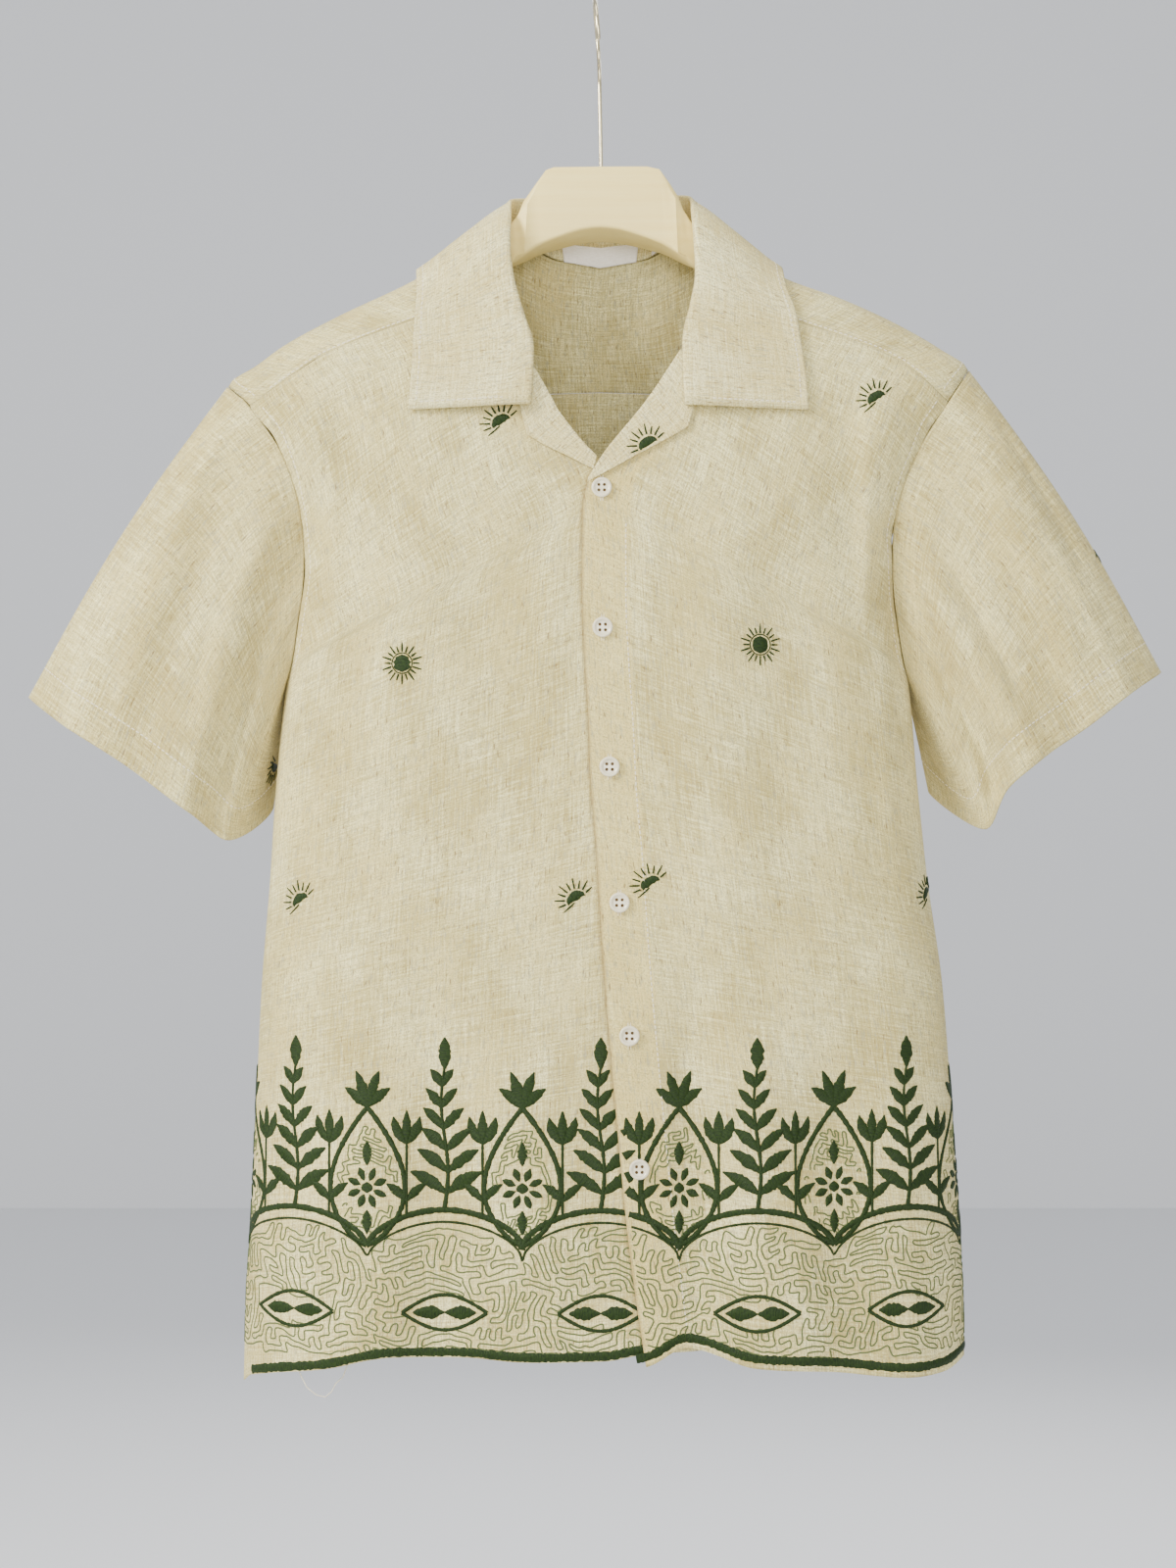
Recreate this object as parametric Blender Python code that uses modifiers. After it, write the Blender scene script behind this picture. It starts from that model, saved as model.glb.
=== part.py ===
"""A short-sleeved linen shirt with an open camp collar, hung on a wooden hanger.

Metres, +Z up, and the front faces -Y. The origin is the point inside the hook that bears on a rail.
Sizes below are in millimetres, and MM turns them into metres. Left and right are the viewer's.
The body is one hollow form: horizontal sections from the neck to the hem. Each panel is a part of it.
"""

import math
from collections import namedtuple

import bmesh
import bpy
import numpy as np
from mathutils import Vector

COLLECTION = "linen_shirt_on_hanger"
MM = 0.001
CLOTH = 1.2  # wall of a cloth piece
LABEL_CLOTH = 1.0
SEAM_SHIFT = 0.25  # each panel's edge stops this short of a seam
SIDE_SHIFT = 0.0012  # the same at the side seams, in quarters of the girth
SECTION_POWER = 2.6  # 2 would make each body section an ellipse, more makes it squarer
SECTION_ASPECT = 0.3  # depth over width of a usual section, for even columns

UNDERARM_HEIGHT = -440.0
SIDE_WRAP = 0.11  # at the hem, the share of a quarter section that the fronts wrap behind
OVERLAP_DEPTH = 2.3  # the left front lies this far behind the right one
OVERLAP_START = -75.0
OVERLAP_FULL = -15.0
LAPEL_LIFT = 2.5
LAPEL_LIFT_AT_ROLL = 0.76  # the share of that lift where the lapel leaves its roll
LAPEL_LIFT_GROWTH = 1.6
COLLAR_LIFT = 3.6
COLLAR_LIFT_AT_RIDGE = 1.6  # times the lift, where the collar passes over the shoulder
RIDGE_SHARE, RIDGE_SPREAD = 0.42, 0.1
ROLL_RADIUS = 2.4
ROLL_INSIDE, ROLL_OUTSIDE = 1.3, 1.6
STAND_INSET, STAND_INSET_FRONT = 2.0, 0.9  # the stand's foot, inside the neck's edge
NECK_MIDDLE_Y = 5.0

ARMHOLE_ROWS = 9
SIDE_ROWS = 13
YOKE_ROWS = 8
YOKE_COLUMNS = 40
FRONT_COLUMNS = 15
BACK_COLUMNS = 22
SLEEVE_ROWS = 11
COLLAR_ROWS = 34
COLLAR_COLUMNS = 10

LABEL_LIFT = 2.0
BUTTON_RADIUS = 6.5
BUTTON_SEAT = 1.0  # from the panel's middle surface to the button's back
HOOK_WIRE = 2.6
HOOK_RADIUS = 21.0
HOOK_BEND = -52.0
HOOK_START_ANGLE, HOOK_TURN, HOOK_STEPS = -48, 250, 15

LEFT, RIGHT = -1, 1
FRONT, BACK = -1, 1


def table(columns, *rows):
    """Named columns, with the slopes of a smooth monotone curve through them, read by the first one."""
    names = columns.split()
    rows = sorted(rows)
    keys = np.array([row[0] for row in rows], float)
    made = {"keys": keys}
    for index, name in enumerate(names[1:], 1):
        values = np.array([row[index] for row in rows], float)
        steps = np.diff(values) / np.diff(keys)
        slopes = np.zeros(len(keys))
        same_way = steps[:-1] * steps[1:] > 0
        safe = np.where(same_way, steps[:-1] + steps[1:], 1.0)
        slopes[1:-1] = np.where(same_way, 2 * steps[:-1] * steps[1:] / safe, 0.0)
        slopes[0], slopes[-1] = steps[0], steps[-1]
        made[name] = (values, slopes)
    return made


def read(rows, column, at):
    keys = rows["keys"]
    values, slopes = rows[column]
    at = min(max(at, keys[0]), keys[-1])
    index = min(int(np.searchsorted(keys, at, "right")) - 1, len(keys) - 2)
    span = keys[index + 1] - keys[index]
    t = (at - keys[index]) / span
    return float(
        (2 * t**3 - 3 * t**2 + 1) * values[index]
        + (t**3 - 2 * t**2 + t) * span * slopes[index]
        + (3 * t**2 - 2 * t**3) * values[index + 1]
        + (t**3 - t**2) * span * slopes[index + 1]
    )


# Half width of the body at each height. Above the shoulder tips it is the slope of the shoulder.
REACH = {
    LEFT: table(
        "height reach",
        (-134, 20), (-137, 42), (-141, 58), (-147, 68), (-161, 91), (-180, 120.3), (-204, 170.4),
        (-222.6, 204.6), (-235, 221.5), (-248.6, 240), (-262, 240), (-285, 227), (-303, 216),
        (-322, 206), (-342, 198), (-367, 194), (-392, 196.5), (-419.7, 199.5), (-471.7, 205.9),
        (-516.7, 209.7), (-566.8, 212.8), (-632, 218), (-691, 220.9), (-785, 225), (-828, 228),
        (-900, 230),
    ),
    RIGHT: table(
        "height reach",
        (-134, 20), (-137, 42), (-141, 58), (-147, 68), (-161, 91), (-178.8, 119.4), (-193.4, 158.7),
        (-209.3, 193), (-225, 220), (-238, 237.3), (-255, 238), (-280, 226), (-306, 208),
        (-327, 198), (-350, 191.5), (-385.5, 191.6), (-424.8, 196.7), (-459, 200.5), (-498, 203.5),
        (-537.6, 207.5), (-566.8, 210.7), (-632, 220), (-694, 225), (-738.6, 228), (-792.5, 231.6),
        (-845.7, 234), (-900, 234.5),
    ),
}
TIP_HEIGHT = {LEFT: -248.6, RIGHT: -238.0}

DEPTH = table(
    "height front back",
    (-134, 9, 12), (-147, 15, 24), (-165, 20, 36), (-180, 25, 39), (-204, 30, 43), (-248, 40, 48),
    (-300, 49, 53), (-344, 55, 56), (-400, 59, 58), (-500, 62, 60), (-650, 66, 64), (-900, 72, 70),
)

# Forward shoulder seam, from the neck out to the armhole, and the seam below the back yoke.
SHOULDER_SEAM = {
    LEFT: table(
        "out height",
        (0, -164), (61, -187), (118.6, -208), (157.4, -222.3), (181, -233), (193.6, -241.7),
        (224.2, -262.9), (245, -277),
    ),
    RIGHT: table(
        "out height",
        (0, -164), (61, -187), (124.4, -209.2), (156.2, -219.8), (181.8, -229.8), (200, -240.5),
        (222.4, -259.8), (245, -279),
    ),
}
BACK_SEAM = table("out height", (0, -246), (120, -250), (226, -264), (250, -268))

# Where the armhole runs, in front and behind, at each height.
ARMHOLE = {
    LEFT: table(
        "height front back",
        (-248.6, 240, 240), (-262.9, 224.2, 229), (-285, 207.5, 216), (-303.4, 198.7, 208),
        (-321.6, 193, 200), (-342, 190, 194), (-367, 189, 190.5), (-400, 193, 194),
        (-428, 197.2, 197.8), (-440, 202, 202),
    ),
    RIGHT: table(
        "height front back",
        (-238, 237.3, 237.3), (-259.8, 222.4, 228), (-280, 208.9, 216), (-306, 195.8, 203),
        (-326.6, 189.5, 195), (-345, 186.5, 190), (-367, 186.3, 188), (-400, 189.5, 190.5),
        (-428, 194, 195), (-440, 198.4, 198.4),
    ),
}

# Inner edge of each front below the neck: along the lapel's roll, then the button edge.
INNER_EDGE = {
    LEFT: table(
        "height x",
        (-187, -61), (-208, -53.5), (-232, -46), (-238.8, -43.8), (-266.7, -30.2), (-289.3, -12.8),
        (-299, -2), (-316, 12.6), (-407, 13.2), (-494, 17.5), (-579, 23.7), (-662, 30), (-746, 36),
        (-880, 45),
    ),
    RIGHT: table(
        "height x",
        (-187, 64), (-203, 60.5), (-226, 55), (-254.3, 37), (-279, 18.2), (-298.9, 2.4),
        (-314.4, -8.4), (-335, -11.4), (-375, -11.8), (-416.5, -10.5), (-457, -8.1), (-504, -6.2),
        (-549, -2.5), (-602, 0.6), (-651, 4.3), (-715, 9.8), (-785, 16.6), (-845, 24.6), (-880, 30),
    ),
}
NECK_SEAM_END = -187.0
INNER_UNDERARM = -335.0
HEM = {
    LEFT: table(
        "x height",
        (-232, -892), (-223, -882), (-173, -872.7), (-130, -864), (-86, -864), (-52, -866.5),
        (2, -866), (28, -862), (50, -862),
    ),
    RIGHT: table(
        "x height",
        (10, -872), (29, -869), (53.5, -858), (64, -859.7), (96.5, -870), (140, -873.3),
        (200.5, -879.4), (217.8, -878), (232, -872),
    ),
}
BACK_HEM = table("x height", (-232, -890), (-120, -882), (0, -886), (110, -880), (232, -872))

# Soft folds of the body: a line from top to foot, half width, and how far it stands out.
Fold = namedtuple("Fold", "top_x top foot_x foot half_width rise")
FOLD_FADE = 45.0
FOLDS = {
    FRONT: (
        (-190, -245, -176, -360, 13, 5.0),
        (-160, -235, -158, -330, 16, -3.0),
        (179, -235, 183, -400, 14, 6.5),
        (156, -240, 160, -400, 16, -3.0),
        (-150, -560, -168, -960, 30, 4.5),
        (-100, -600, -96, -960, 26, -3.5),
        (-40, -640, -30, -960, 26, 2.5),
        (58, -600, 58, -960, 17, -4.5),
        (100, -640, 108, -960, 24, 4.0),
        (150, -640, 152, -960, 24, -2.5),
        (192, -560, 200, -960, 20, 4.0),
    ),
    BACK: (
        (-140, -240, -150, -960, 26, 5.5),
        (-88, -300, -70, -960, 26, -5.0),
        (-24, -250, -14, -960, 30, 5.0),
        (46, -330, 58, -960, 24, -5.5),
        (104, -240, 112, -960, 24, 5.0),
        (164, -300, 172, -960, 22, -3.5),
    ),
}

# Collar, from the middle of the back to its front end: where it meets the neck, its roll, its edge.
Station = namedtuple(
    "Station",
    "share neck_out neck_height neck_face roll_out roll_y roll_z edge_out edge_height edge_face",
)
COLLAR = {
    LEFT: (
        (0.00, 0, -165, BACK, 0, 34, -120, 0, -205, BACK),
        (0.15, 28, -161, BACK, 33, 33, -120.5, 42, -204, BACK),
        (0.28, 50, -151.5, BACK, 50, 24, -122.5, 80, -200, BACK),
        (0.34, 61, -147.5, BACK, 56, 15, -124.5, 95, -193, BACK),
        (0.40, 66, -146, FRONT, 58.5, 4, -127.5, 106, -184, BACK),
        (0.50, 65, -154, FRONT, 58.5, -12, -139, 116, -178, FRONT),
        (0.62, 63.5, -170, FRONT, 59, -24, -157, 117, -194, FRONT),
        (0.74, 61, -187, FRONT, 57, -31, -178, 118, -208, FRONT),
        (0.86, 53.5, -208, FRONT, 50, -37, -205, 119, -226, FRONT),
        (0.94, 46, -232, FRONT, 43.5, -43.5, -231, 120, -246, FRONT),
        (1.00, 49, -261, FRONT, 45, -49.5, -261, 121, -267.5, FRONT),
    ),
    RIGHT: (
        (0.00, 0, -165, BACK, 0, 34, -120, 0, -205, BACK),
        (0.15, 28, -161, BACK, 33, 33, -119.5, 42, -204, BACK),
        (0.28, 50, -151.5, BACK, 50, 24, -120.5, 80, -200, BACK),
        (0.34, 61, -147.5, BACK, 56.5, 15, -122.5, 95, -193, BACK),
        (0.40, 66, -146, FRONT, 59, 4, -126, 106, -184, BACK),
        (0.50, 65.5, -154, FRONT, 59.8, -12, -138, 115, -178, FRONT),
        (0.62, 65.5, -170, FRONT, 61, -24, -157, 118, -188, FRONT),
        (0.74, 64, -187, FRONT, 62, -31, -178, 124, -205, FRONT),
        (0.86, 60.5, -203, FRONT, 58.3, -37, -201, 127, -223, FRONT),
        (0.94, 55, -226, FRONT, 53, -43.5, -226, 130, -243, FRONT),
        (1.00, 58, -261, FRONT, 54, -49.5, -261, 131.5, -264.5, FRONT),
    ),
}
NECK_ON_YOKE = 0.74  # the share of the collar that is sewn to the yoke
YOKE_NECK = 0.5  # the share of the yoke's half width whose columns start at the neck
# The yoke's columns fan out from the neck: where each one ends on the back seam.
YOKE_FAN = table(
    "share out",
    (0, 0), (0.2, 38), (0.34, 63), (0.4, 74), (0.5, 89), (0.62, 107), (0.74, 123),
)

LAPEL = {
    LEFT: table(
        "share roll_x roll_height edge_x edge_height",
        (0, -42.5, -240, -56, -247), (0.25, -36, -251.5, -51, -266), (0.45, -28, -266.7, -46.8, -284),
        (0.6, -21, -276.5, -37, -290), (0.8, -10.8, -289.3, -20.5, -298), (1, -5, -295.5, -9.5, -303),
    ),
    RIGHT: table(
        "share roll_x roll_height edge_x edge_height",
        (0, 51, -229, 66, -240), (0.2, 44, -240, 60, -261), (0.4, 34.7, -254.3, 55.8, -279),
        (0.55, 25.5, -267, 42, -287), (0.7, 15.8, -279, 27.9, -294.6), (0.88, 3, -295, 9, -305),
        (1, -5, -308.5, -2.5, -311.5),
    ),
}

# The cuff of each sleeve, going round from its outer corner by the front.
CUFF = {
    LEFT: table(
        "share x y z",
        (-0.12, -340, 32, -460), (0, -369, -2, -449), (0.12, -346, -30, -465), (0.25, -305, -41, -491),
        (0.37, -262, -32, -523), (0.45, -240, -14, -541), (0.54, -216, 24, -520), (0.64, -250, 40, -502),
        (0.76, -295, 44, -482), (0.88, -340, 32, -460), (1, -369, -2, -449), (1.12, -346, -30, -465),
    ),
    RIGHT: table(
        "share x y z",
        (-0.12, 332, 31, -452), (0, 362, -2, -433), (0.12, 340, -28, -446), (0.25, 308, -40, -470),
        (0.36, 277, -41, -491), (0.42, 260, -30, -508), (0.47, 247, -12, -534), (0.54, 215, 24, -510),
        (0.64, 250, 40, -500), (0.76, 290, 44, -478), (0.88, 332, 31, -452), (1, 362, -2, -433),
        (1.12, 340, -28, -446),
    ),
}
SleeveFold = namedtuple("SleeveFold", "top_share top_row foot_share foot_row half_width rise")
SLEEVE_FOLDS = {
    LEFT: (
        (0.10, 0.05, 0.16, 1.1, 0.035, 3.5),
        (0.17, 0.1, 0.27, 1.1, 0.035, -3.5),
        (0.22, 0.15, 0.36, 1.1, 0.035, 4.0),
        (0.33, 0.2, 0.43, 0.9, 0.03, -4.5),
        (0.70, 0.1, 0.66, 1.1, 0.04, 4.0),
        (0.80, 0.1, 0.80, 1.1, 0.04, -4.0),
    ),
    RIGHT: (
        (0.12, 0.1, 0.14, 1.1, 0.035, 3.0),
        (0.20, 0.1, 0.26, 1.1, 0.035, -4.0),
        (0.29, 0.05, 0.37, 1.1, 0.035, 8.0),
        (0.37, 0.15, 0.43, 1.0, 0.028, -7.0),
        (0.70, 0.1, 0.66, 1.1, 0.04, 4.0),
        (0.80, 0.1, 0.82, 1.1, 0.04, -4.0),
    ),
}
SLEEVE_FOLD_START, SLEEVE_FOLD_END = 0.25, 0.15
SLEEVE_SWELL = 7.0
SWELL_UP, SWELL_ROUND, SWELL_AT_EDGES = 0.3, 0.03, 0.4
SLEEVE_GAP = 1.8
UNDERARM_GAP = 1.6

BUTTONS = table(
    "number x height",
    (1, 0.6, -318.4), (2, 1.2, -406.6), (3, 5.5, -494.2), (4, 11.7, -579.3), (5, 17.9, -662.6),
    (6, 24.0, -745.9),
)
# Half of a button's section, out from its middle: (radius, height) over the front, rim and back.
BUTTON_PROFILE = ((0, 1.5), (4.2, 1.6), (4.8, 2.2), (5.7, 2.4), (6.4, 1.7), (6.1, 0.5), (5.0, 0), (0, 0))
BUTTON_STEPS = 18

HANGER = table(
    "x bottom half_depth",
    (-226, -258, 6), (-205, -247, 7.5), (-170, -230, 7.5), (-120, -208, 7), (-90, -190, 7),
    (-70, -178, 6.5), (-63, -174, 6.5), (-58.5, -171, 6.5), (-48.4, -165.5, 9.5), (-36.4, -160.5, 10),
    (0, -153, 10.5), (39.2, -160.5, 10), (49.3, -165, 9.5), (59, -170.5, 6.5), (63, -173, 6.5),
    (70, -177, 6.5), (90, -189, 7), (120, -206, 7), (160, -221, 7.5), (205, -242, 7.5), (224, -251, 6),
)
# The top of its neck block and of its two ends. Between them the arms follow the shoulders.
HANGER_TOP = table(
    "x height",
    (-226, -248), (-70, -153), (-63, -149.5), (-58.5, -143.8), (-48.4, -131), (-36.4, -107.6),
    (0, -107.2), (39.2, -107), (49.3, -127.5), (59, -142.8), (63, -149.5), (70, -153), (224, -238),
)
ARM_START, ARM_END = 75, 210
HANGER_STATIONS = (
    -226, -205, -188, -170, -145, -120, -105, -90, -80, -70, -63, -58.5, -48.4, -36.4, -18, 0,
    18, 39.2, 49.3, 59, 63, 70, 80, 90, 105, 120, 140, 160, 182, 205, 224,
)
HANGER_UNDER_CLOTH = 2.5  # the arms' top below the cloth's middle surface
HANGER_EDGE = 4.5
HOOK_LEAN = table("height x", (-110, 0.5), (-30, -1.1), (3, -3.9))

COLOURS = {
    "linen": (0.68, 0.60, 0.45, 1),
    "collar_linen": (0.72, 0.62, 0.49, 1),
    "button": (0.82, 0.78, 0.70, 1),
    "label": (0.72, 0.66, 0.56, 1),
    "wood": (0.72, 0.58, 0.36, 1),
    "brass": (0.70, 0.56, 0.30, 1),
}
ROUGHNESS = {"linen": 0.9, "collar_linen": 0.9, "button": 0.35, "label": 0.8, "wood": 0.5, "brass": 0.25}


def even_columns():
    """Along a quarter of a section: the share of its length, and there the share of its width and depth."""
    angles = np.linspace(0, math.pi / 2, 500)
    wide = np.cos(angles).clip(0) ** (2 / SECTION_POWER)
    deep = np.sin(angles) ** (2 / SECTION_POWER)
    steps = np.hypot(np.diff(wide), SECTION_ASPECT * np.diff(deep))
    along = np.concatenate([[0], np.cumsum(steps)])
    return along / along[-1], wide, deep


QUARTER, QUARTER_WIDE, QUARTER_DEEP = even_columns()


def ramp(value, start, end):
    t = min(max((value - start) / (end - start), 0.0), 1.0)
    return t * t * (3 - 2 * t)


def folds_at(x, height, face):
    total = 0.0
    for fold in (Fold(*row) for row in FOLDS[face]):
        share = (fold.top - height) / (fold.top - fold.foot)
        middle = fold.top_x + (fold.foot_x - fold.top_x) * share
        ends = ramp(height, fold.top, fold.top - FOLD_FADE) * ramp(height, fold.foot, fold.foot + FOLD_FADE)
        total += fold.rise * ends * math.exp(-(((x - middle) / fold.half_width) ** 2))
    return total


def side_of(x):
    return LEFT if x < 0 else RIGHT


def body_depth(x, height, face):
    """How far in y the body's surface lies from its mid-plane, negative in front."""
    ratio = min(abs(x) / read(REACH[side_of(x)], "reach", height), 1.0)
    bow = (1 - ratio**SECTION_POWER) ** (1 / SECTION_POWER)
    full = read(DEPTH, "front" if face == FRONT else "back", height)
    return face * bow * (full + folds_at(x, height, face))


def on_body(x, height, face):
    return Vector((x, body_depth(x, height, face), height))


def girth_point(girth, height):
    """A point by its place round the section: 0 right side, 1 front, 2 left side, 3 back."""
    girth %= 4
    side = RIGHT if girth <= 1 or girth > 3 else LEFT
    face = FRONT if girth <= 2 else BACK
    share = abs(girth - 2 * round(girth / 2))
    x = side * read(REACH[side], "reach", height) * float(np.interp(share, QUARTER, QUARTER_WIDE))
    deep = float(np.interp(share, QUARTER, QUARTER_DEEP))
    full = read(DEPTH, "front" if face == FRONT else "back", height)
    return Vector((x, face * deep * (full + folds_at(x, height, face)), height))


def girth_of(x, height, face):
    ratio = min(abs(x) / read(REACH[side_of(x)], "reach", height), 1.0)
    share = float(np.interp(-ratio, -QUARTER_WIDE, QUARTER))
    if face == FRONT:
        return share if x > 0 else 2 - share
    return 2 + share if x < 0 else 4 - share


RIDGE_HEIGHTS = {side: np.linspace(-134, TIP_HEIGHT[side], 700) for side in (LEFT, RIGHT)}
RIDGE_REACH = {
    side: np.array([read(REACH[side], "reach", height) for height in RIDGE_HEIGHTS[side]])
    for side in (LEFT, RIGHT)
}


def ridge(side, out):
    """Height of the top of the shoulder, out from the middle."""
    return float(np.interp(out, RIDGE_REACH[side], RIDGE_HEIGHTS[side]))


def seam_drop(side, out, across):
    """How far the yoke's seam, in front or behind, lies below the top of the shoulder."""
    seam = SHOULDER_SEAM[side] if across < 0 else BACK_SEAM
    return ridge(side, out) - read(seam, "height", out)


def over_shoulder(side, out, across, shift=0.0):
    """A point over the shoulder: across is -1 at the forward seam, 0 on top and 1 at the yoke's back seam."""
    height = ridge(side, out) - seam_drop(side, out, across) * across**2 + shift
    return on_body(side * out, height, FRONT if across < 0 else BACK)


def across_of(side, out, height, face):
    drop = max(ridge(side, out) - height, 0.0)
    return face * math.sqrt(drop / seam_drop(side, out, face))


def outward(side, out, across):
    """The body's outward direction at a point over the shoulder."""
    step = 0.03
    along = over_shoulder(side, out + 1.5, across) - over_shoulder(side, out - 1.5, across)
    around = over_shoulder(side, out, across + step) - over_shoulder(side, out, across - step)
    normal = along.cross(around) * side
    return normal.normalized()


def yoke_at_armhole(side, across):
    """(out, height) of the yoke's edge at the armhole."""
    out = read(ARMHOLE[side], "front", TIP_HEIGHT[side])
    column = "front" if across < 0 else "back"
    for _ in range(40):
        height = ridge(side, out) - seam_drop(side, out, across) * across**2
        out = 0.5 * out + 0.5 * read(ARMHOLE[side], column, height)
    return out, height


def armhole_edge(side, face):
    """(x, height) down the armhole on one face, from the yoke's seam to the underarm."""
    column = "front" if face == FRONT else "back"
    top_out, top = yoke_at_armhole(side, face)
    edge = [(side * top_out, top)]
    for row in range(1, ARMHOLE_ROWS + 1):
        left = 1 - row / ARMHOLE_ROWS
        height = UNDERARM_HEIGHT + (top - UNDERARM_HEIGHT) * left**1.4
        edge.append((side * read(ARMHOLE[side], column, height), height))
    return edge


def collar_lines(side):
    """The collar's neck line, roll and edge, by the share of its length."""
    rows = []
    for station in (Station(*row) for row in COLLAR[side]):
        neck = across_of(side, station.neck_out, station.neck_height, station.neck_face)
        edge = across_of(side, station.edge_out, station.edge_height, station.edge_face)
        roll = (station.roll_out, station.roll_y, station.roll_z)
        rows.append((station.share, station.neck_out, neck, *roll, station.edge_out, edge))
    return table("share neck_out neck_across roll_out roll_y roll_z edge_out edge_across", *rows)


COLLAR_LINES = {side: collar_lines(side) for side in (LEFT, RIGHT)}


def neck_place(side, share):
    """(out, across) of the neck's edge on the yoke, at a share of the collar's length."""
    return read(COLLAR_LINES[side], "neck_out", share), read(COLLAR_LINES[side], "neck_across", share)


def yoke_surface(u, t):
    """The yoke, from one armhole to the other, and from the forward seam or neck to the back seam."""
    position = 2 * u - 1
    side = LEFT if position < 0 else RIGHT
    place = abs(position)
    arm_back = yoke_at_armhole(side, 1)[0]
    if place < YOKE_NECK:
        share = place / YOKE_NECK * NECK_ON_YOKE
        start_out, start_across = neck_place(side, share)
        end_out = read(YOKE_FAN, "out", share)
        shift = 0.0
    else:
        neck_out = neck_place(side, NECK_ON_YOKE)[0]
        arm_out = yoke_at_armhole(side, -1)[0]
        beyond = (place - YOKE_NECK) / (1 - YOKE_NECK)
        start_out = neck_out + (arm_out - neck_out) * beyond
        start_across = -1.0
        fan_end = read(YOKE_FAN, "out", NECK_ON_YOKE)
        end_out = fan_end + (arm_back - fan_end) * beyond
        shift = SEAM_SHIFT * (1 - t) ** 8
    across = start_across + (1 - start_across) * t
    out = start_out + (end_out - start_out) * t
    arm_line = yoke_at_armhole(side, -1)[0] * (1 - t) + arm_back * t
    out += place**6 * (yoke_at_armhole(side, across)[0] - arm_line)
    shift += SEAM_SHIFT * t**8
    return over_shoulder(side, out, across, shift)


def side_girth(side, height):
    """Where the side seam runs round the section."""
    wrap = SIDE_WRAP * ramp(height, UNDERARM_HEIGHT, -900)
    return 2 + wrap if side == LEFT else -wrap


def panel_edges(side):
    """Rows of a front panel, each (inner girth, inner height, outer girth, outer height)."""
    rows = []
    for index, (x, height) in enumerate(armhole_edge(side, FRONT)):
        share = index / ARMHOLE_ROWS
        inner = NECK_SEAM_END + (INNER_UNDERARM - NECK_SEAM_END) * share
        rows.append((inner, girth_of(x, height, FRONT), height))
    last = HEM[side]["height"][0]
    inner_hem = last[-1] if side == LEFT else last[1]
    outer_hem = last[0] if side == LEFT else last[-1]
    for index in range(1, SIDE_ROWS + 1):
        share = index / SIDE_ROWS
        inner = INNER_UNDERARM + (inner_hem - INNER_UNDERARM) * share
        outer = UNDERARM_HEIGHT + (outer_hem - UNDERARM_HEIGHT) * share
        rows.append((inner, side_girth(side, outer), outer))
    edges = []
    for inner, outer_girth, outer in rows:
        inner_x = read(INNER_EDGE[side], "x", inner)
        edges.append((girth_of(inner_x, inner, FRONT), inner, outer_girth, outer))
    return edges


def front_surface(side):
    """A front panel, out from its button edge and down from its shoulder seam."""
    edges = panel_edges(side)
    last = len(edges) - 1

    def surface(u, t):
        inner_girth, inner_height, outer_girth, outer_height = edges[round(t * last)]
        girth = inner_girth + (outer_girth - inner_girth) * u
        girth += side * SIDE_SHIFT * u
        base = inner_height + (outer_height - inner_height) * u
        height = base
        top_share = max(1 - t * last / ARMHOLE_ROWS, 0.0) ** 4
        for _ in range(12):
            x = girth_point(girth, height).x
            if top_share > 0:
                straight = edges[0][1] + (edges[0][3] - edges[0][1]) * u
                seam = read(SHOULDER_SEAM[side], "height", abs(x)) - SEAM_SHIFT
                height = base + top_share * (seam - straight)
            else:
                straight = edges[-1][1] + (edges[-1][3] - edges[-1][1]) * u
                height = base + t**10 * (read(HEM[side], "height", x) - straight)
        point = girth_point(girth, height)
        if side == LEFT and point.y < 0:
            point.y += OVERLAP_DEPTH * ramp(point.x, OVERLAP_START, OVERLAP_FULL)
        return point

    return surface, last


def back_surface():
    """The back panel, from side to side and down from the yoke."""
    left, right = armhole_edge(LEFT, BACK), armhole_edge(RIGHT, BACK)
    edges = [(girth_of(*a, BACK), a[1], girth_of(*b, BACK), b[1]) for a, b in zip(left, right)]
    hem = BACK_HEM["height"][0]
    for index in range(1, SIDE_ROWS + 1):
        share = index / SIDE_ROWS
        left_height = UNDERARM_HEIGHT + (hem[0] - UNDERARM_HEIGHT) * share
        right_height = UNDERARM_HEIGHT + (hem[-1] - UNDERARM_HEIGHT) * share
        left_girth = side_girth(LEFT, left_height)
        right_girth = 4 + side_girth(RIGHT, right_height)
        edges.append((left_girth, left_height, right_girth, right_height))
    last = len(edges) - 1

    def surface(u, t):
        left_girth, left_height, right_girth, right_height = edges[round(t * last)]
        girth = left_girth + (right_girth - left_girth) * u + SIDE_SHIFT * (1 - 2 * u)
        base = left_height + (right_height - left_height) * u
        height = base
        top_share = max(1 - t * last / ARMHOLE_ROWS, 0.0) ** 4
        for _ in range(12):
            x = girth_point(girth, height).x
            if top_share > 0:
                straight = edges[0][1] + (edges[0][3] - edges[0][1]) * u
                seam = read(BACK_SEAM, "height", abs(x)) - SEAM_SHIFT
                height = base + top_share * (seam - straight)
            else:
                straight = edges[-1][1] + (edges[-1][3] - edges[-1][1]) * u
                height = base + t**10 * (read(BACK_HEM, "height", x) - straight)
        return girth_point(girth, height)

    return surface, last


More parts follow.
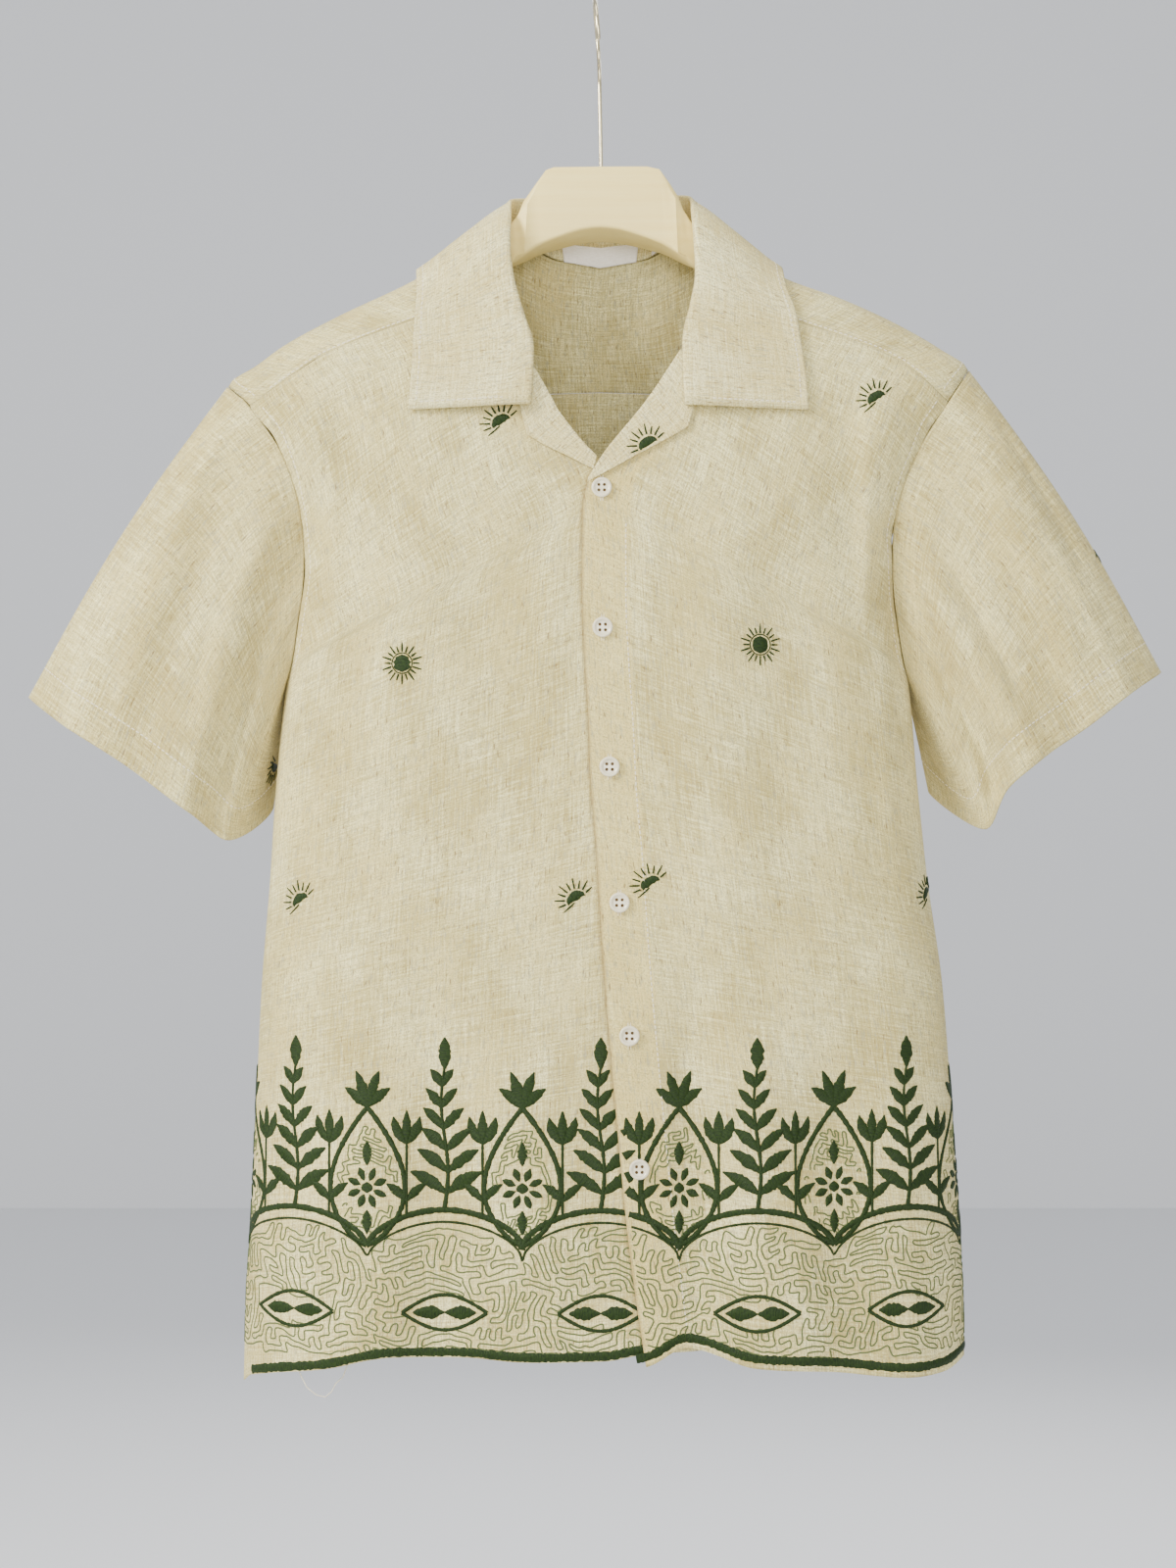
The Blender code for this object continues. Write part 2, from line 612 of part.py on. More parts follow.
def armhole_ring(side):
    """The sleeve's seam: over the yoke's front edge, down the front, up the back and over to the top."""
    yoke_steps = YOKE_ROWS // 2
    ring = []
    for step in range(yoke_steps):
        out, height = yoke_at_armhole(side, -step / yoke_steps)
        ring.append(on_body(side * out, height, FRONT))
    ring += [on_body(x, height, FRONT) for x, height in armhole_edge(side, FRONT)]
    ring += [on_body(x, height, BACK) for x, height in reversed(armhole_edge(side, BACK)[:-1])]
    for step in range(yoke_steps - 1, 0, -1):
        out, height = yoke_at_armhole(side, step / yoke_steps)
        ring.append(on_body(side * out, height, BACK))
    return ring


def sleeve_surface(side):
    """The sleeve: round its ring from the top by the front, and down to the cuff."""
    ring = armhole_ring(side)
    count = len(ring)

    def surface(u, t):
        share = u % 1.0
        seam = ring[round(u * count) % count]
        gap = SLEEVE_GAP + UNDERARM_GAP * math.sin(math.pi * share) ** 6
        start = seam + Vector((side, 0, -0.35)) * gap
        end = Vector([read(CUFF[side], axis, share) for axis in "xyz"])
        point = start.lerp(end, t)
        around = Vector((side * SWELL_UP, (start.y + end.y) * SWELL_ROUND, SWELL_UP))
        near_edges = SWELL_AT_EDGES + (1 - SWELL_AT_EDGES) * ramp(abs(around.y), 0, SWELL_UP)
        near_body = 1 - 0.9 * math.sin(math.pi * share) ** 6
        swell = SLEEVE_SWELL * math.sin(math.pi * t) * near_edges * near_body
        point += around.normalized() * swell
        facing = -1 if share < 0.5 else 1
        for fold in (SleeveFold(*row) for row in SLEEVE_FOLDS[side]):
            along = (t - fold.top_row) / (fold.foot_row - fold.top_row)
            line = fold.top_share + (fold.foot_share - fold.top_share) * along
            ends = ramp(t, fold.top_row, fold.top_row + SLEEVE_FOLD_START)
            ends *= ramp(t, fold.foot_row, fold.foot_row - SLEEVE_FOLD_END)
            point.y += facing * fold.rise * ends * math.exp(-(((share - line) / fold.half_width) ** 2))
        return point

    return surface, count


def collar_row(side, share):
    """One crosswise row of the collar, from the neck seam up the stand, over the roll and down the fall."""
    lines = COLLAR_LINES[side]
    at = {name: read(lines, name, share) for name in lines if name != "keys"}
    roll = Vector((side * at["roll_out"], at["roll_y"], at["roll_z"]))
    base = over_shoulder(side, at["neck_out"], at["neck_across"])
    edge = over_shoulder(side, at["edge_out"], at["edge_across"])
    inward = Vector((-base.x, NECK_MIDDLE_Y - base.y, 0)).normalized()
    inward = inward.lerp(Vector((-side, 0, 0)), ramp(share, 0.8, 0.9)).normalized()
    seam = base + inward * (STAND_INSET + STAND_INSET_FRONT * ramp(share, 0.55, 0.78))
    fall = (edge - roll).normalized()
    stand = (seam - roll).normalized()
    front = (fall - stand).normalized()
    free_end = ramp(share, 0.88, 0.95)
    under = roll + fall * 1.2 + Vector((0, 1.9, 0))
    seam = seam.lerp(under, free_end)
    reach = min(ROLL_RADIUS, (seam - roll).length * 0.45)
    inner = roll + (seam - roll).normalized() * reach - front * ROLL_INSIDE
    outer = roll + fall * ROLL_RADIUS + front * ROLL_OUTSIDE
    row = [seam, seam.lerp(inner, 0.5), inner, roll, outer]
    near_ridge = math.exp(-(((share - RIDGE_SHARE) / RIDGE_SPREAD) ** 2))
    full_lift = COLLAR_LIFT * (1 + (COLLAR_LIFT_AT_RIDGE - 1) * near_ridge)
    fall_steps = COLLAR_COLUMNS - 4
    for step in range(1, fall_steps + 1):
        t = step / fall_steps
        out = at["neck_out"] + (at["edge_out"] - at["neck_out"]) * t
        across = at["neck_across"] + (at["edge_across"] - at["neck_across"]) * t
        lift = outward(side, out, across) * full_lift * math.sqrt(t)
        row.append(over_shoulder(side, out, across) + lift + (outer - base) * (1 - t) ** 1.5)
    return row


def collar_rows():
    rows = []
    for index in range(COLLAR_ROWS + 1):
        position = 2 * index / COLLAR_ROWS - 1
        side = LEFT if position < 0 else RIGHT
        rows.append(collar_row(side, abs(position)))
    return rows


def lapel_surface(side):
    """The turned-out top of a front, out from its roll to its edge."""

    def surface(u, t):
        at = {name: read(LAPEL[side], name, t) for name in LAPEL[side] if name != "keys"}
        across = u**1.5
        x = at["roll_x"] + (at["edge_x"] - at["roll_x"]) * across
        height = at["roll_height"] + (at["edge_height"] - at["roll_height"]) * across
        point = on_body(x, height, FRONT)
        if side == LEFT:
            point.y += OVERLAP_DEPTH * ramp(x, OVERLAP_START, OVERLAP_FULL)
        point.y -= LAPEL_LIFT * min(1.0, LAPEL_LIFT_AT_ROLL + LAPEL_LIFT_GROWTH * u)
        return point

    return surface


def named_material(name):
    found = bpy.data.materials.get(name)
    if found:
        return found
    made = bpy.data.materials.new(name)
    made.use_nodes = True
    shader = made.node_tree.nodes["Principled BSDF"]
    shader.inputs["Base Color"].default_value = COLOURS[name]
    shader.inputs["Roughness"].default_value = ROUGHNESS[name]
    shader.inputs["Metallic"].default_value = 1.0 if name == "brass" else 0.0
    return made


def add_object(name, data, material):
    made = bpy.data.objects.new(name, data)
    made.data.materials.append(named_material(material))
    bpy.data.collections[COLLECTION].objects.link(made)
    return made


def cloth(name, surface, columns, rows, material="linen", wall=CLOTH, closed=False):
    """A grid laid on a surface of (across, along), given its wall."""
    shape = bmesh.new()
    bmesh.ops.create_grid(shape, x_segments=columns, y_segments=rows, size=0.5)
    for vertex in shape.verts:
        vertex.co = surface(vertex.co.x + 0.5, vertex.co.y + 0.5) * MM
    if closed:
        bmesh.ops.remove_doubles(shape, verts=shape.verts[:], dist=1e-6)
    bmesh.ops.recalc_face_normals(shape, faces=shape.faces[:])
    mesh = bpy.data.meshes.new(name)
    shape.to_mesh(mesh)
    shape.free()
    mesh.shade_smooth()
    made = add_object(name, mesh, material)
    solid = made.modifiers.new("wall", "SOLIDIFY")
    solid.thickness = wall * MM
    solid.offset = 0.0
    solid.use_even_offset = True
    return made


def rows_surface(rows):
    """A surface that passes through ready rows of points."""

    def surface(u, t):
        row = rows[round(t * (len(rows) - 1))]
        return row[round(u * (len(row) - 1))]

    return surface


def label(name, middle_share, half_share, side, low, high):
    """A plain woven label inside the collar's stand."""

    def surface(u, t):
        share = middle_share + (2 * u - 1) * half_share
        here = side if share >= 0 else -side
        row = collar_row(here, abs(share))
        foot, top = row[0], row[2]
        point = foot.lerp(top, low + (high - low) * t)
        inward = Vector((-point.x, NECK_MIDDLE_Y - point.y, 0)).normalized()
        return point + inward * LABEL_LIFT

    cloth(name, surface, 6, 2, "label", LABEL_CLOTH)


def button(number):
    x = read(BUTTONS, "x", number)
    height = read(BUTTONS, "height", number)
    mesh = bpy.data.meshes.new(f"button_{number}")
    shape = bmesh.new()
    corners = [shape.verts.new((radius * MM, 0, rise * MM)) for radius, rise in BUTTON_PROFILE]
    for first, second in zip(corners, corners[1:]):
        shape.edges.new((first, second))
    shape.to_mesh(mesh)
    shape.free()
    made = add_object(f"button_{number}", mesh, "button")
    turned = made.modifiers.new("turn", "SCREW")
    turned.steps = turned.render_steps = BUTTON_STEPS
    turned.use_merge_vertices = True
    turned.merge_threshold = 1e-5
    across = on_body(x + BUTTON_RADIUS, height, FRONT) - on_body(x - BUTTON_RADIUS, height, FRONT)
    upward = on_body(x, height + BUTTON_RADIUS, FRONT) - on_body(x, height - BUTTON_RADIUS, FRONT)
    facing = across.cross(upward).normalized()
    seat = on_body(x, height, FRONT) + facing * BUTTON_SEAT
    made.rotation_euler = facing.to_track_quat("Z", "Y").to_euler()
    made.location = seat * MM
    mesh.shade_smooth()


def hanger():
    """The wooden bar: a long box, cut into stations, each brought to its own top, foot and depth."""
    shape = bmesh.new()
    bmesh.ops.create_cube(shape, size=1.0)
    long_edges = [e for e in shape.edges if abs(e.verts[0].co.x - e.verts[1].co.x) > 0.5]
    bmesh.ops.subdivide_edges(shape, edges=long_edges, cuts=len(HANGER_STATIONS) - 2, use_grid_fill=True)
    for vertex in shape.verts:
        x = HANGER_STATIONS[round((vertex.co.x + 0.5) * (len(HANGER_STATIONS) - 1))]
        top = read(HANGER_TOP, "height", x)
        if ARM_START < abs(x) < ARM_END:
            top = ridge(side_of(x), abs(x)) - HANGER_UNDER_CLOTH
        height = top if vertex.co.z > 0 else read(HANGER, "bottom", x)
        depth = read(HANGER, "half_depth", x) * (1 if vertex.co.y > 0 else -1)
        vertex.co = Vector((x, depth, height)) * MM
    mesh = bpy.data.meshes.new("hanger")
    shape.to_mesh(mesh)
    shape.free()
    made = add_object("hanger", mesh, "wood")
    rounded = made.modifiers.new("rounded", "BEVEL")
    rounded.width = HANGER_EDGE * MM
    rounded.segments = 3
    rounded.angle_limit = math.radians(50)
    mesh.shade_smooth()


def hook():
    """The wire: a stem, a bend out to one side and round over the rail."""
    route = [(0.0, -106.7), (0.0, -80.0), (0.0, HOOK_BEND), (2.4, -45.5), (7.5, -40.3)]
    middle = HOOK_WIRE / 2 - HOOK_RADIUS
    for step in range(HOOK_STEPS + 1):
        angle = math.radians(HOOK_START_ANGLE + HOOK_TURN * step / HOOK_STEPS)
        route.append((HOOK_RADIUS * math.cos(angle), middle + HOOK_RADIUS * math.sin(angle)))
    line = bpy.data.curves.new("hook", "CURVE")
    line.dimensions = "3D"
    line.bevel_depth = HOOK_WIRE / 2 * MM
    line.bevel_resolution = 2
    line.use_fill_caps = True
    spline = line.splines.new("POLY")
    spline.points.add(len(route) - 1)
    for point, (y, height) in zip(spline.points, route):
        point.co = (read(HOOK_LEAN, "x", height) * MM, y * MM, height * MM, 1)
    add_object("hook", line, "brass")


def build():
    for existing in list(bpy.data.objects):
        bpy.data.objects.remove(existing)
    bpy.context.scene.collection.children.link(bpy.data.collections.new(COLLECTION))
    cloth("yoke", yoke_surface, YOKE_COLUMNS, YOKE_ROWS)
    for side, word in ((LEFT, "left"), (RIGHT, "right")):
        surface, rows = front_surface(side)
        cloth(f"front_{word}", surface, FRONT_COLUMNS, rows)
        surface, columns = sleeve_surface(side)
        cloth(f"sleeve_{word}", surface, columns, SLEEVE_ROWS, closed=True)
        cloth(f"lapel_{word}", lapel_surface(side), 6, 9, "collar_linen")
    surface, rows = back_surface()
    cloth("back", surface, BACK_COLUMNS, rows)
    cloth("collar", rows_surface(collar_rows()), COLLAR_COLUMNS, COLLAR_ROWS, "collar_linen")
    label("neck_label", 0.0, 0.12, RIGHT, 0.08, 0.34)
    label("size_label", 0.2, 0.03, RIGHT, 0.08, 0.32)
    for number in range(1, 7):
        button(number)
    hanger()
    hook()


build()
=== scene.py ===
import math
import random
from collections import namedtuple

import bmesh
import bpy
import numpy as np
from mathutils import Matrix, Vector


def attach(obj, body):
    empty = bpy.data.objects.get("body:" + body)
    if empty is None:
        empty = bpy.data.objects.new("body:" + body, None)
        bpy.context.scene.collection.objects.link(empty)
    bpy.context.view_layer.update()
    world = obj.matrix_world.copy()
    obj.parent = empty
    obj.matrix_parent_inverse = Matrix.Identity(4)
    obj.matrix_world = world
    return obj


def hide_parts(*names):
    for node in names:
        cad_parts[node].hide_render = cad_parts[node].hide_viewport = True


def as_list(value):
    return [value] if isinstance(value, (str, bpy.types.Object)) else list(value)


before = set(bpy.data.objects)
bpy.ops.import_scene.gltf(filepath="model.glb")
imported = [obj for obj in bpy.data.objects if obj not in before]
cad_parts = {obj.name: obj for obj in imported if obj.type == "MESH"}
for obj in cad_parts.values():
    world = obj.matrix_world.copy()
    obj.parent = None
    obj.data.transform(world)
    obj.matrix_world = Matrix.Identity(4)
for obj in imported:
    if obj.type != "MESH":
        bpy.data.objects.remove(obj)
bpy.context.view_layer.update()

# Lengths are in millimetres up to the meshes, which are in metres. Left and right are the viewer's.
# The shirt's front faces -Y. Every cloth piece follows the surface of its own solid in the frame.
MM = 0.001
SHARP_ANGLE = math.radians(40)
LEFT, RIGHT = -1, 1
FRONT, BACK = -1, 1
SIDES = ((LEFT, "left"), (RIGHT, "right"))

LINEN_WALL = 0.8
COLLAR_WALL = 1.5  # two layers with their interlining
SEAM_SHIFT = 0.1
SIDE_SHIFT = 0.0005
SECTION_POWER = 2.6
SECTION_ASPECT = 0.3
UNDERARM_HEIGHT = -440.0
SIDE_WRAP = 0.11
OVERLAP_DEPTH = 2.3
OVERLAP_START, OVERLAP_FULL = -75.0, -15.0
LAPEL_LIFT = 2.5
LAPEL_LIFT_AT_ROLL, LAPEL_LIFT_GROWTH = 0.76, 1.6
COLLAR_LIFT = 3.6
COLLAR_LIFT_AT_RIDGE = 1.6
RIDGE_SHARE, RIDGE_SPREAD = 0.42, 0.1
ROLL_RADIUS = 2.4
ROLL_INSIDE, ROLL_OUTSIDE = 1.3, 1.6
STAND_INSET, STAND_INSET_FRONT = 2.0, 0.9
NECK_MIDDLE_Y = 5.0
LABEL_LIFT = 2.0
HANGER_UNDER_CLOTH = 2.5
ARMHOLE_ROWS, SIDE_ROWS, YOKE_ROWS = 9, 13, 8
COLLAR_COLUMNS = 10
SLEEVE_GAP, UNDERARM_GAP = 0.7, 0.5


def table(columns, *rows):
    """Named columns, with the slopes of a smooth monotone curve through them, read by the first one."""
    names = columns.split()
    rows = sorted(rows)
    keys = np.array([row[0] for row in rows], float)
    made = {"keys": keys}
    for index, name in enumerate(names[1:], 1):
        values = np.array([row[index] for row in rows], float)
        steps = np.diff(values) / np.diff(keys)
        slopes = np.zeros(len(keys))
        same_way = steps[:-1] * steps[1:] > 0
        safe = np.where(same_way, steps[:-1] + steps[1:], 1.0)
        slopes[1:-1] = np.where(same_way, 2 * steps[:-1] * steps[1:] / safe, 0.0)
        slopes[0], slopes[-1] = steps[0], steps[-1]
        made[name] = (values, slopes)
    return made


def read(rows, column, at):
    keys = rows["keys"]
    values, slopes = rows[column]
    at = np.clip(np.asarray(at, float), keys[0], keys[-1])
    index = np.clip(np.searchsorted(keys, at, "right") - 1, 0, len(keys) - 2)
    span = keys[index + 1] - keys[index]
    t = (at - keys[index]) / span
    return (
        (2 * t**3 - 3 * t**2 + 1) * values[index]
        + (t**3 - 2 * t**2 + t) * span * slopes[index]
        + (3 * t**2 - 2 * t**3) * values[index + 1]
        + (t**3 - t**2) * span * slopes[index + 1]
    )


# Half width of the body at each height. Above the shoulder tips it is the slope of the shoulder.
REACH = {
    LEFT: table(
        "height reach",
        (-134, 20), (-137, 42), (-141, 58), (-147, 68), (-161, 91), (-180, 120.3), (-204, 170.4),
        (-222.6, 204.6), (-235, 221.5), (-248.6, 240), (-262, 240), (-285, 227), (-303, 216),
        (-322, 206), (-342, 198), (-367, 194), (-392, 196.5), (-419.7, 199.5), (-471.7, 205.9),
        (-516.7, 209.7), (-566.8, 212.8), (-632, 218), (-691, 220.9), (-785, 225), (-828, 228),
        (-900, 230),
    ),
    RIGHT: table(
        "height reach",
        (-134, 20), (-137, 42), (-141, 58), (-147, 68), (-161, 91), (-178.8, 119.4), (-193.4, 158.7),
        (-209.3, 193), (-225, 220), (-238, 237.3), (-255, 238), (-280, 226), (-306, 208),
        (-327, 198), (-350, 191.5), (-385.5, 191.6), (-424.8, 196.7), (-459, 200.5), (-498, 203.5),
        (-537.6, 207.5), (-566.8, 210.7), (-632, 220), (-694, 225), (-738.6, 228), (-792.5, 231.6),
        (-845.7, 234), (-900, 234.5),
    ),
}
TIP_HEIGHT = {LEFT: -248.6, RIGHT: -238.0}

DEPTH = table(
    "height front back",
    (-134, 9, 12), (-147, 15, 24), (-165, 20, 36), (-180, 25, 39), (-204, 30, 43), (-248, 40, 48),
    (-300, 49, 53), (-344, 55, 56), (-400, 59, 58), (-500, 62, 60), (-650, 66, 64), (-900, 72, 70),
)

# Forward shoulder seam, from the neck out to the armhole, and the seam below the back yoke.
SHOULDER_SEAM = {
    LEFT: table(
        "out height",
        (0, -164), (61, -187), (118.6, -208), (157.4, -222.3), (181, -233), (193.6, -241.7),
        (224.2, -262.9), (245, -277),
    ),
    RIGHT: table(
        "out height",
        (0, -164), (61, -187), (124.4, -209.2), (156.2, -219.8), (181.8, -229.8), (200, -240.5),
        (222.4, -259.8), (245, -279),
    ),
}
BACK_SEAM = table("out height", (0, -246), (120, -250), (226, -264), (250, -268))

# Where the armhole runs, in front and behind, at each height.
ARMHOLE = {
    LEFT: table(
        "height front back",
        (-248.6, 240, 240), (-262.9, 224.2, 229), (-285, 207.5, 216), (-303.4, 198.7, 208),
        (-321.6, 193, 200), (-342, 190, 194), (-367, 189, 190.5), (-400, 193, 194),
        (-428, 197.2, 197.8), (-440, 202, 202),
    ),
    RIGHT: table(
        "height front back",
        (-238, 237.3, 237.3), (-259.8, 222.4, 228), (-280, 208.9, 216), (-306, 195.8, 203),
        (-326.6, 189.5, 195), (-345, 186.5, 190), (-367, 186.3, 188), (-400, 189.5, 190.5),
        (-428, 194, 195), (-440, 198.4, 198.4),
    ),
}

# Inner edge of each front below the neck: along the lapel's roll, then the button edge.
INNER_EDGE = {
    LEFT: table(
        "height x",
        (-187, -61), (-208, -53.5), (-232, -46), (-238.8, -43.8), (-266.7, -30.2), (-289.3, -12.8),
        (-299, -2), (-316, 12.6), (-407, 13.2), (-494, 17.5), (-579, 23.7), (-662, 30), (-746, 36),
        (-880, 45),
    ),
    RIGHT: table(
        "height x",
        (-187, 64), (-203, 60.5), (-226, 55), (-254.3, 37), (-279, 18.2), (-298.9, 2.4),
        (-314.4, -8.4), (-335, -11.4), (-375, -11.8), (-416.5, -10.5), (-457, -8.1), (-504, -6.2),
        (-549, -2.5), (-602, 0.6), (-651, 4.3), (-715, 9.8), (-785, 16.6), (-845, 24.6), (-880, 30),
    ),
}
NECK_SEAM_END = -187.0
INNER_UNDERARM = -335.0
HEM = {
    LEFT: table(
        "x height",
        (-232, -892), (-223, -882), (-173, -872.7), (-130, -864), (-86, -864), (-52, -866.5),
        (2, -866), (28, -862), (50, -862),
    ),
    RIGHT: table(
        "x height",
        (10, -872), (29, -869), (53.5, -858), (64, -859.7), (96.5, -870), (140, -873.3),
        (200.5, -879.4), (217.8, -878), (232, -872),
    ),
}
BACK_HEM = table("x height", (-232, -890), (-120, -882), (0, -886), (110, -880), (232, -872))

# Soft folds of the body: a line from top to foot, half width, and how far it stands out.
Fold = namedtuple("Fold", "top_x top foot_x foot half_width rise")
FOLD_FADE = 45.0
FOLDS = {
    FRONT: (
        (-190, -245, -176, -360, 13, 5.0), (-160, -235, -158, -330, 16, -3.0),
        (179, -235, 183, -400, 14, 6.5), (156, -240, 160, -400, 16, -3.0),
        (-150, -560, -168, -960, 30, 4.5), (-100, -600, -96, -960, 26, -3.5),
        (-40, -640, -30, -960, 26, 2.5), (58, -600, 58, -960, 17, -4.5),
        (100, -640, 108, -960, 24, 4.0), (150, -640, 152, -960, 24, -2.5),
        (192, -560, 200, -960, 20, 4.0),
    ),
    BACK: (
        (-140, -240, -150, -960, 26, 5.5), (-88, -300, -70, -960, 26, -5.0),
        (-24, -250, -14, -960, 30, 5.0), (46, -330, 58, -960, 24, -5.5),
        (104, -240, 112, -960, 24, 5.0), (164, -300, 172, -960, 22, -3.5),
    ),
}

# Collar, from the middle of the back to its front end: where it meets the neck, its roll, its edge.
Station = namedtuple(
    "Station",
    "share neck_out neck_height neck_face roll_out roll_y roll_z edge_out edge_height edge_face",
)
COLLAR = {
    LEFT: (
        (0.00, 0, -165, BACK, 0, 34, -120, 0, -205, BACK),
        (0.15, 28, -161, BACK, 33, 33, -120.5, 42, -204, BACK),
        (0.28, 50, -151.5, BACK, 50, 24, -122.5, 80, -200, BACK),
        (0.34, 61, -147.5, BACK, 56, 15, -124.5, 95, -193, BACK),
        (0.40, 66, -146, FRONT, 58.5, 4, -127.5, 106, -184, BACK),
        (0.50, 65, -154, FRONT, 58.5, -12, -139, 116, -178, FRONT),
        (0.62, 63.5, -170, FRONT, 59, -24, -157, 117, -194, FRONT),
        (0.74, 61, -187, FRONT, 57, -31, -178, 118, -208, FRONT),
        (0.86, 53.5, -208, FRONT, 50, -37, -205, 119, -226, FRONT),
        (0.94, 46, -232, FRONT, 43.5, -43.5, -231, 120, -246, FRONT),
        (1.00, 49, -263, FRONT, 45, -49.5, -265, 121.5, -268, FRONT),
    ),
    RIGHT: (
        (0.00, 0, -165, BACK, 0, 34, -120, 0, -205, BACK),
        (0.15, 28, -161, BACK, 33, 33, -119.5, 42, -204, BACK),
        (0.28, 50, -151.5, BACK, 50, 24, -120.5, 80, -200, BACK),
        (0.34, 61, -147.5, BACK, 56.5, 15, -122.5, 95, -193, BACK),
        (0.40, 66, -146, FRONT, 59, 4, -126, 106, -184, BACK),
        (0.50, 65.5, -154, FRONT, 59.8, -12, -138, 115, -178, FRONT),
        (0.62, 65.5, -170, FRONT, 61, -24, -157, 118, -188, FRONT),
        (0.74, 64, -187, FRONT, 62, -31, -178, 124, -205, FRONT),
        (0.86, 60.5, -203, FRONT, 58.3, -37, -201, 127, -223, FRONT),
        (0.94, 55, -228, FRONT, 53, -43.5, -228, 130, -245, FRONT),
        (1.00, 58, -264, FRONT, 54, -49.5, -265.5, 131.5, -268, FRONT),
    ),
}
NECK_ON_YOKE = 0.74  # the share of the collar that is sewn to the yoke
YOKE_NECK = 0.5  # the share of the yoke's half width whose columns start at the neck
# The yoke's columns fan out from the neck: where each one ends on the back seam.
YOKE_FAN = table(
    "share out",
    (0, 0), (0.2, 38), (0.34, 63), (0.4, 74), (0.5, 89), (0.62, 107), (0.74, 123),
)

LAPEL = {
    LEFT: table(
        "share roll_x roll_height edge_x edge_height",
        (0, -42.5, -240, -56, -247), (0.25, -36, -251.5, -51, -266),
        (0.43, -28.6, -265.4, -47.2, -282.3), (0.45, -28, -266.7, -46.8, -284),
        (0.47, -27.1, -268.1, -45.4, -284.8),
        (0.6, -21, -276.5, -37, -290), (0.8, -10.8, -289.3, -20.5, -298), (1, -2.5, -298, -4, -306.6),
    ),
    RIGHT: table(
        "share roll_x roll_height edge_x edge_height",
        (0, 51, -229, 66, -240), (0.2, 44, -240, 60, -261),
        (0.38, 35.6, -252.9, 56.2, -277.2), (0.4, 34.7, -254.3, 55.8, -279), (0.42, 33.5, -256, 54, -280.1),
        (0.55, 25.5, -267, 42, -287), (0.7, 15.8, -279, 27.9, -294.6), (0.88, 3, -295, 9, -305),
        (1, -8, -312.5, -8.5, -314.6),
    ),
}

# The cuff of each sleeve, going round from its outer corner by the front.
CUFF = {
    LEFT: table(
        "share x y z",
        (-0.12, -340, 32, -460), (0, -369, -2, -449), (0.12, -346, -30, -465), (0.25, -305, -41, -491),
        (0.37, -262, -32, -523), (0.45, -238.5, -14, -541), (0.54, -214, 24, -520), (0.64, -250, 40, -502),
        (0.76, -295, 44, -482), (0.88, -340, 32, -460), (1, -369, -2, -449), (1.12, -346, -30, -465),
    ),
    RIGHT: table(
        "share x y z",
        (-0.12, 332, 31, -452), (0, 362, -2, -433), (0.12, 340, -28, -446), (0.25, 308, -40, -470),
        (0.36, 277, -41, -491), (0.42, 260, -30, -508), (0.47, 247, -12, -534), (0.54, 215, 24, -510),
        (0.64, 250, 40, -500), (0.76, 290, 44, -478), (0.88, 332, 31, -452), (1, 362, -2, -433),
        (1.12, 340, -28, -446),
    ),
}
SleeveFold = namedtuple("SleeveFold", "top_share top_row foot_share foot_row half_width rise")
SLEEVE_FOLDS = {
    LEFT: (
        (0.10, 0.05, 0.16, 1.1, 0.035, 3.5), (0.17, 0.1, 0.27, 1.1, 0.035, -3.5),
        (0.22, 0.15, 0.36, 1.1, 0.035, 4.0), (0.33, 0.2, 0.43, 0.9, 0.03, -4.5),
        (0.70, 0.1, 0.66, 1.1, 0.04, 4.0), (0.80, 0.1, 0.80, 1.1, 0.04, -4.0),
    ),
    RIGHT: (
        (0.12, 0.1, 0.14, 1.1, 0.035, 3.0), (0.20, 0.1, 0.26, 1.1, 0.035, -4.0),
        (0.29, 0.05, 0.37, 1.1, 0.035, 8.0), (0.37, 0.15, 0.43, 1.0, 0.028, -7.0),
        (0.70, 0.1, 0.66, 1.1, 0.04, 4.0), (0.80, 0.1, 0.82, 1.1, 0.04, -4.0),
    ),
}
SLEEVE_FOLD_START, SLEEVE_FOLD_END = 0.25, 0.15
SLEEVE_SWELL = 7.0
SWELL_UP, SWELL_ROUND, SWELL_AT_EDGES = 0.3, 0.03, 0.4

BUTTONS = table(
    "number x height",
    (1, 0.6, -318.4), (2, 1.2, -406.6), (3, 5.5, -494.2), (4, 11.7, -579.3), (5, 17.9, -662.6),
    (6, 24.0, -745.9),
)
HANGER = table(
    "x bottom half_depth",
    (-226, -258, 6), (-205, -247, 7.5), (-170, -230, 7.5), (-120, -208, 7), (-90, -190, 7),
    (-70, -178, 6.5), (-63, -174, 6.5), (-58.5, -171, 6.5), (-48.4, -165.5, 9.5), (-36.4, -160.5, 10),
    (0, -153, 10.5), (39.2, -160.5, 10), (49.3, -165, 9.5), (59, -170.5, 6.5), (63, -173, 6.5),
    (70, -177, 6.5), (90, -189, 7), (120, -206, 7), (160, -221, 7.5), (205, -242, 7.5), (224, -251, 6),
)
# The top of its neck block and of its two ends. Between them the arms follow the shoulders.
HANGER_TOP = table(
    "x height",
    (-226, -248), (-70, -153), (-63, -149.5), (-58.5, -143.8), (-48.4, -131), (-36.4, -107.6),
    (0, -107.2), (39.2, -107), (49.3, -127.5), (59, -142.8), (63, -149.5), (70, -153), (224, -238),
)
ARM_START, ARM_END = 75, 210
HANGER_STATIONS = (
    -226, -205, -188, -170, -145, -120, -105, -90, -80, -70, -63, -58.5, -53.4, -48.4, -42.4, -36.4, -30,
    -24, -18, -12, -6, 0, 6, 12, 18, 24, 30, 39.2, 44.2, 49.3, 54.1, 59, 63, 70, 80, 90, 105, 120,
    140, 160, 182, 205, 224,
)
HOOK_LEAN = table("height x", (-110, 0.5), (-30, -1.1), (3, -3.9))


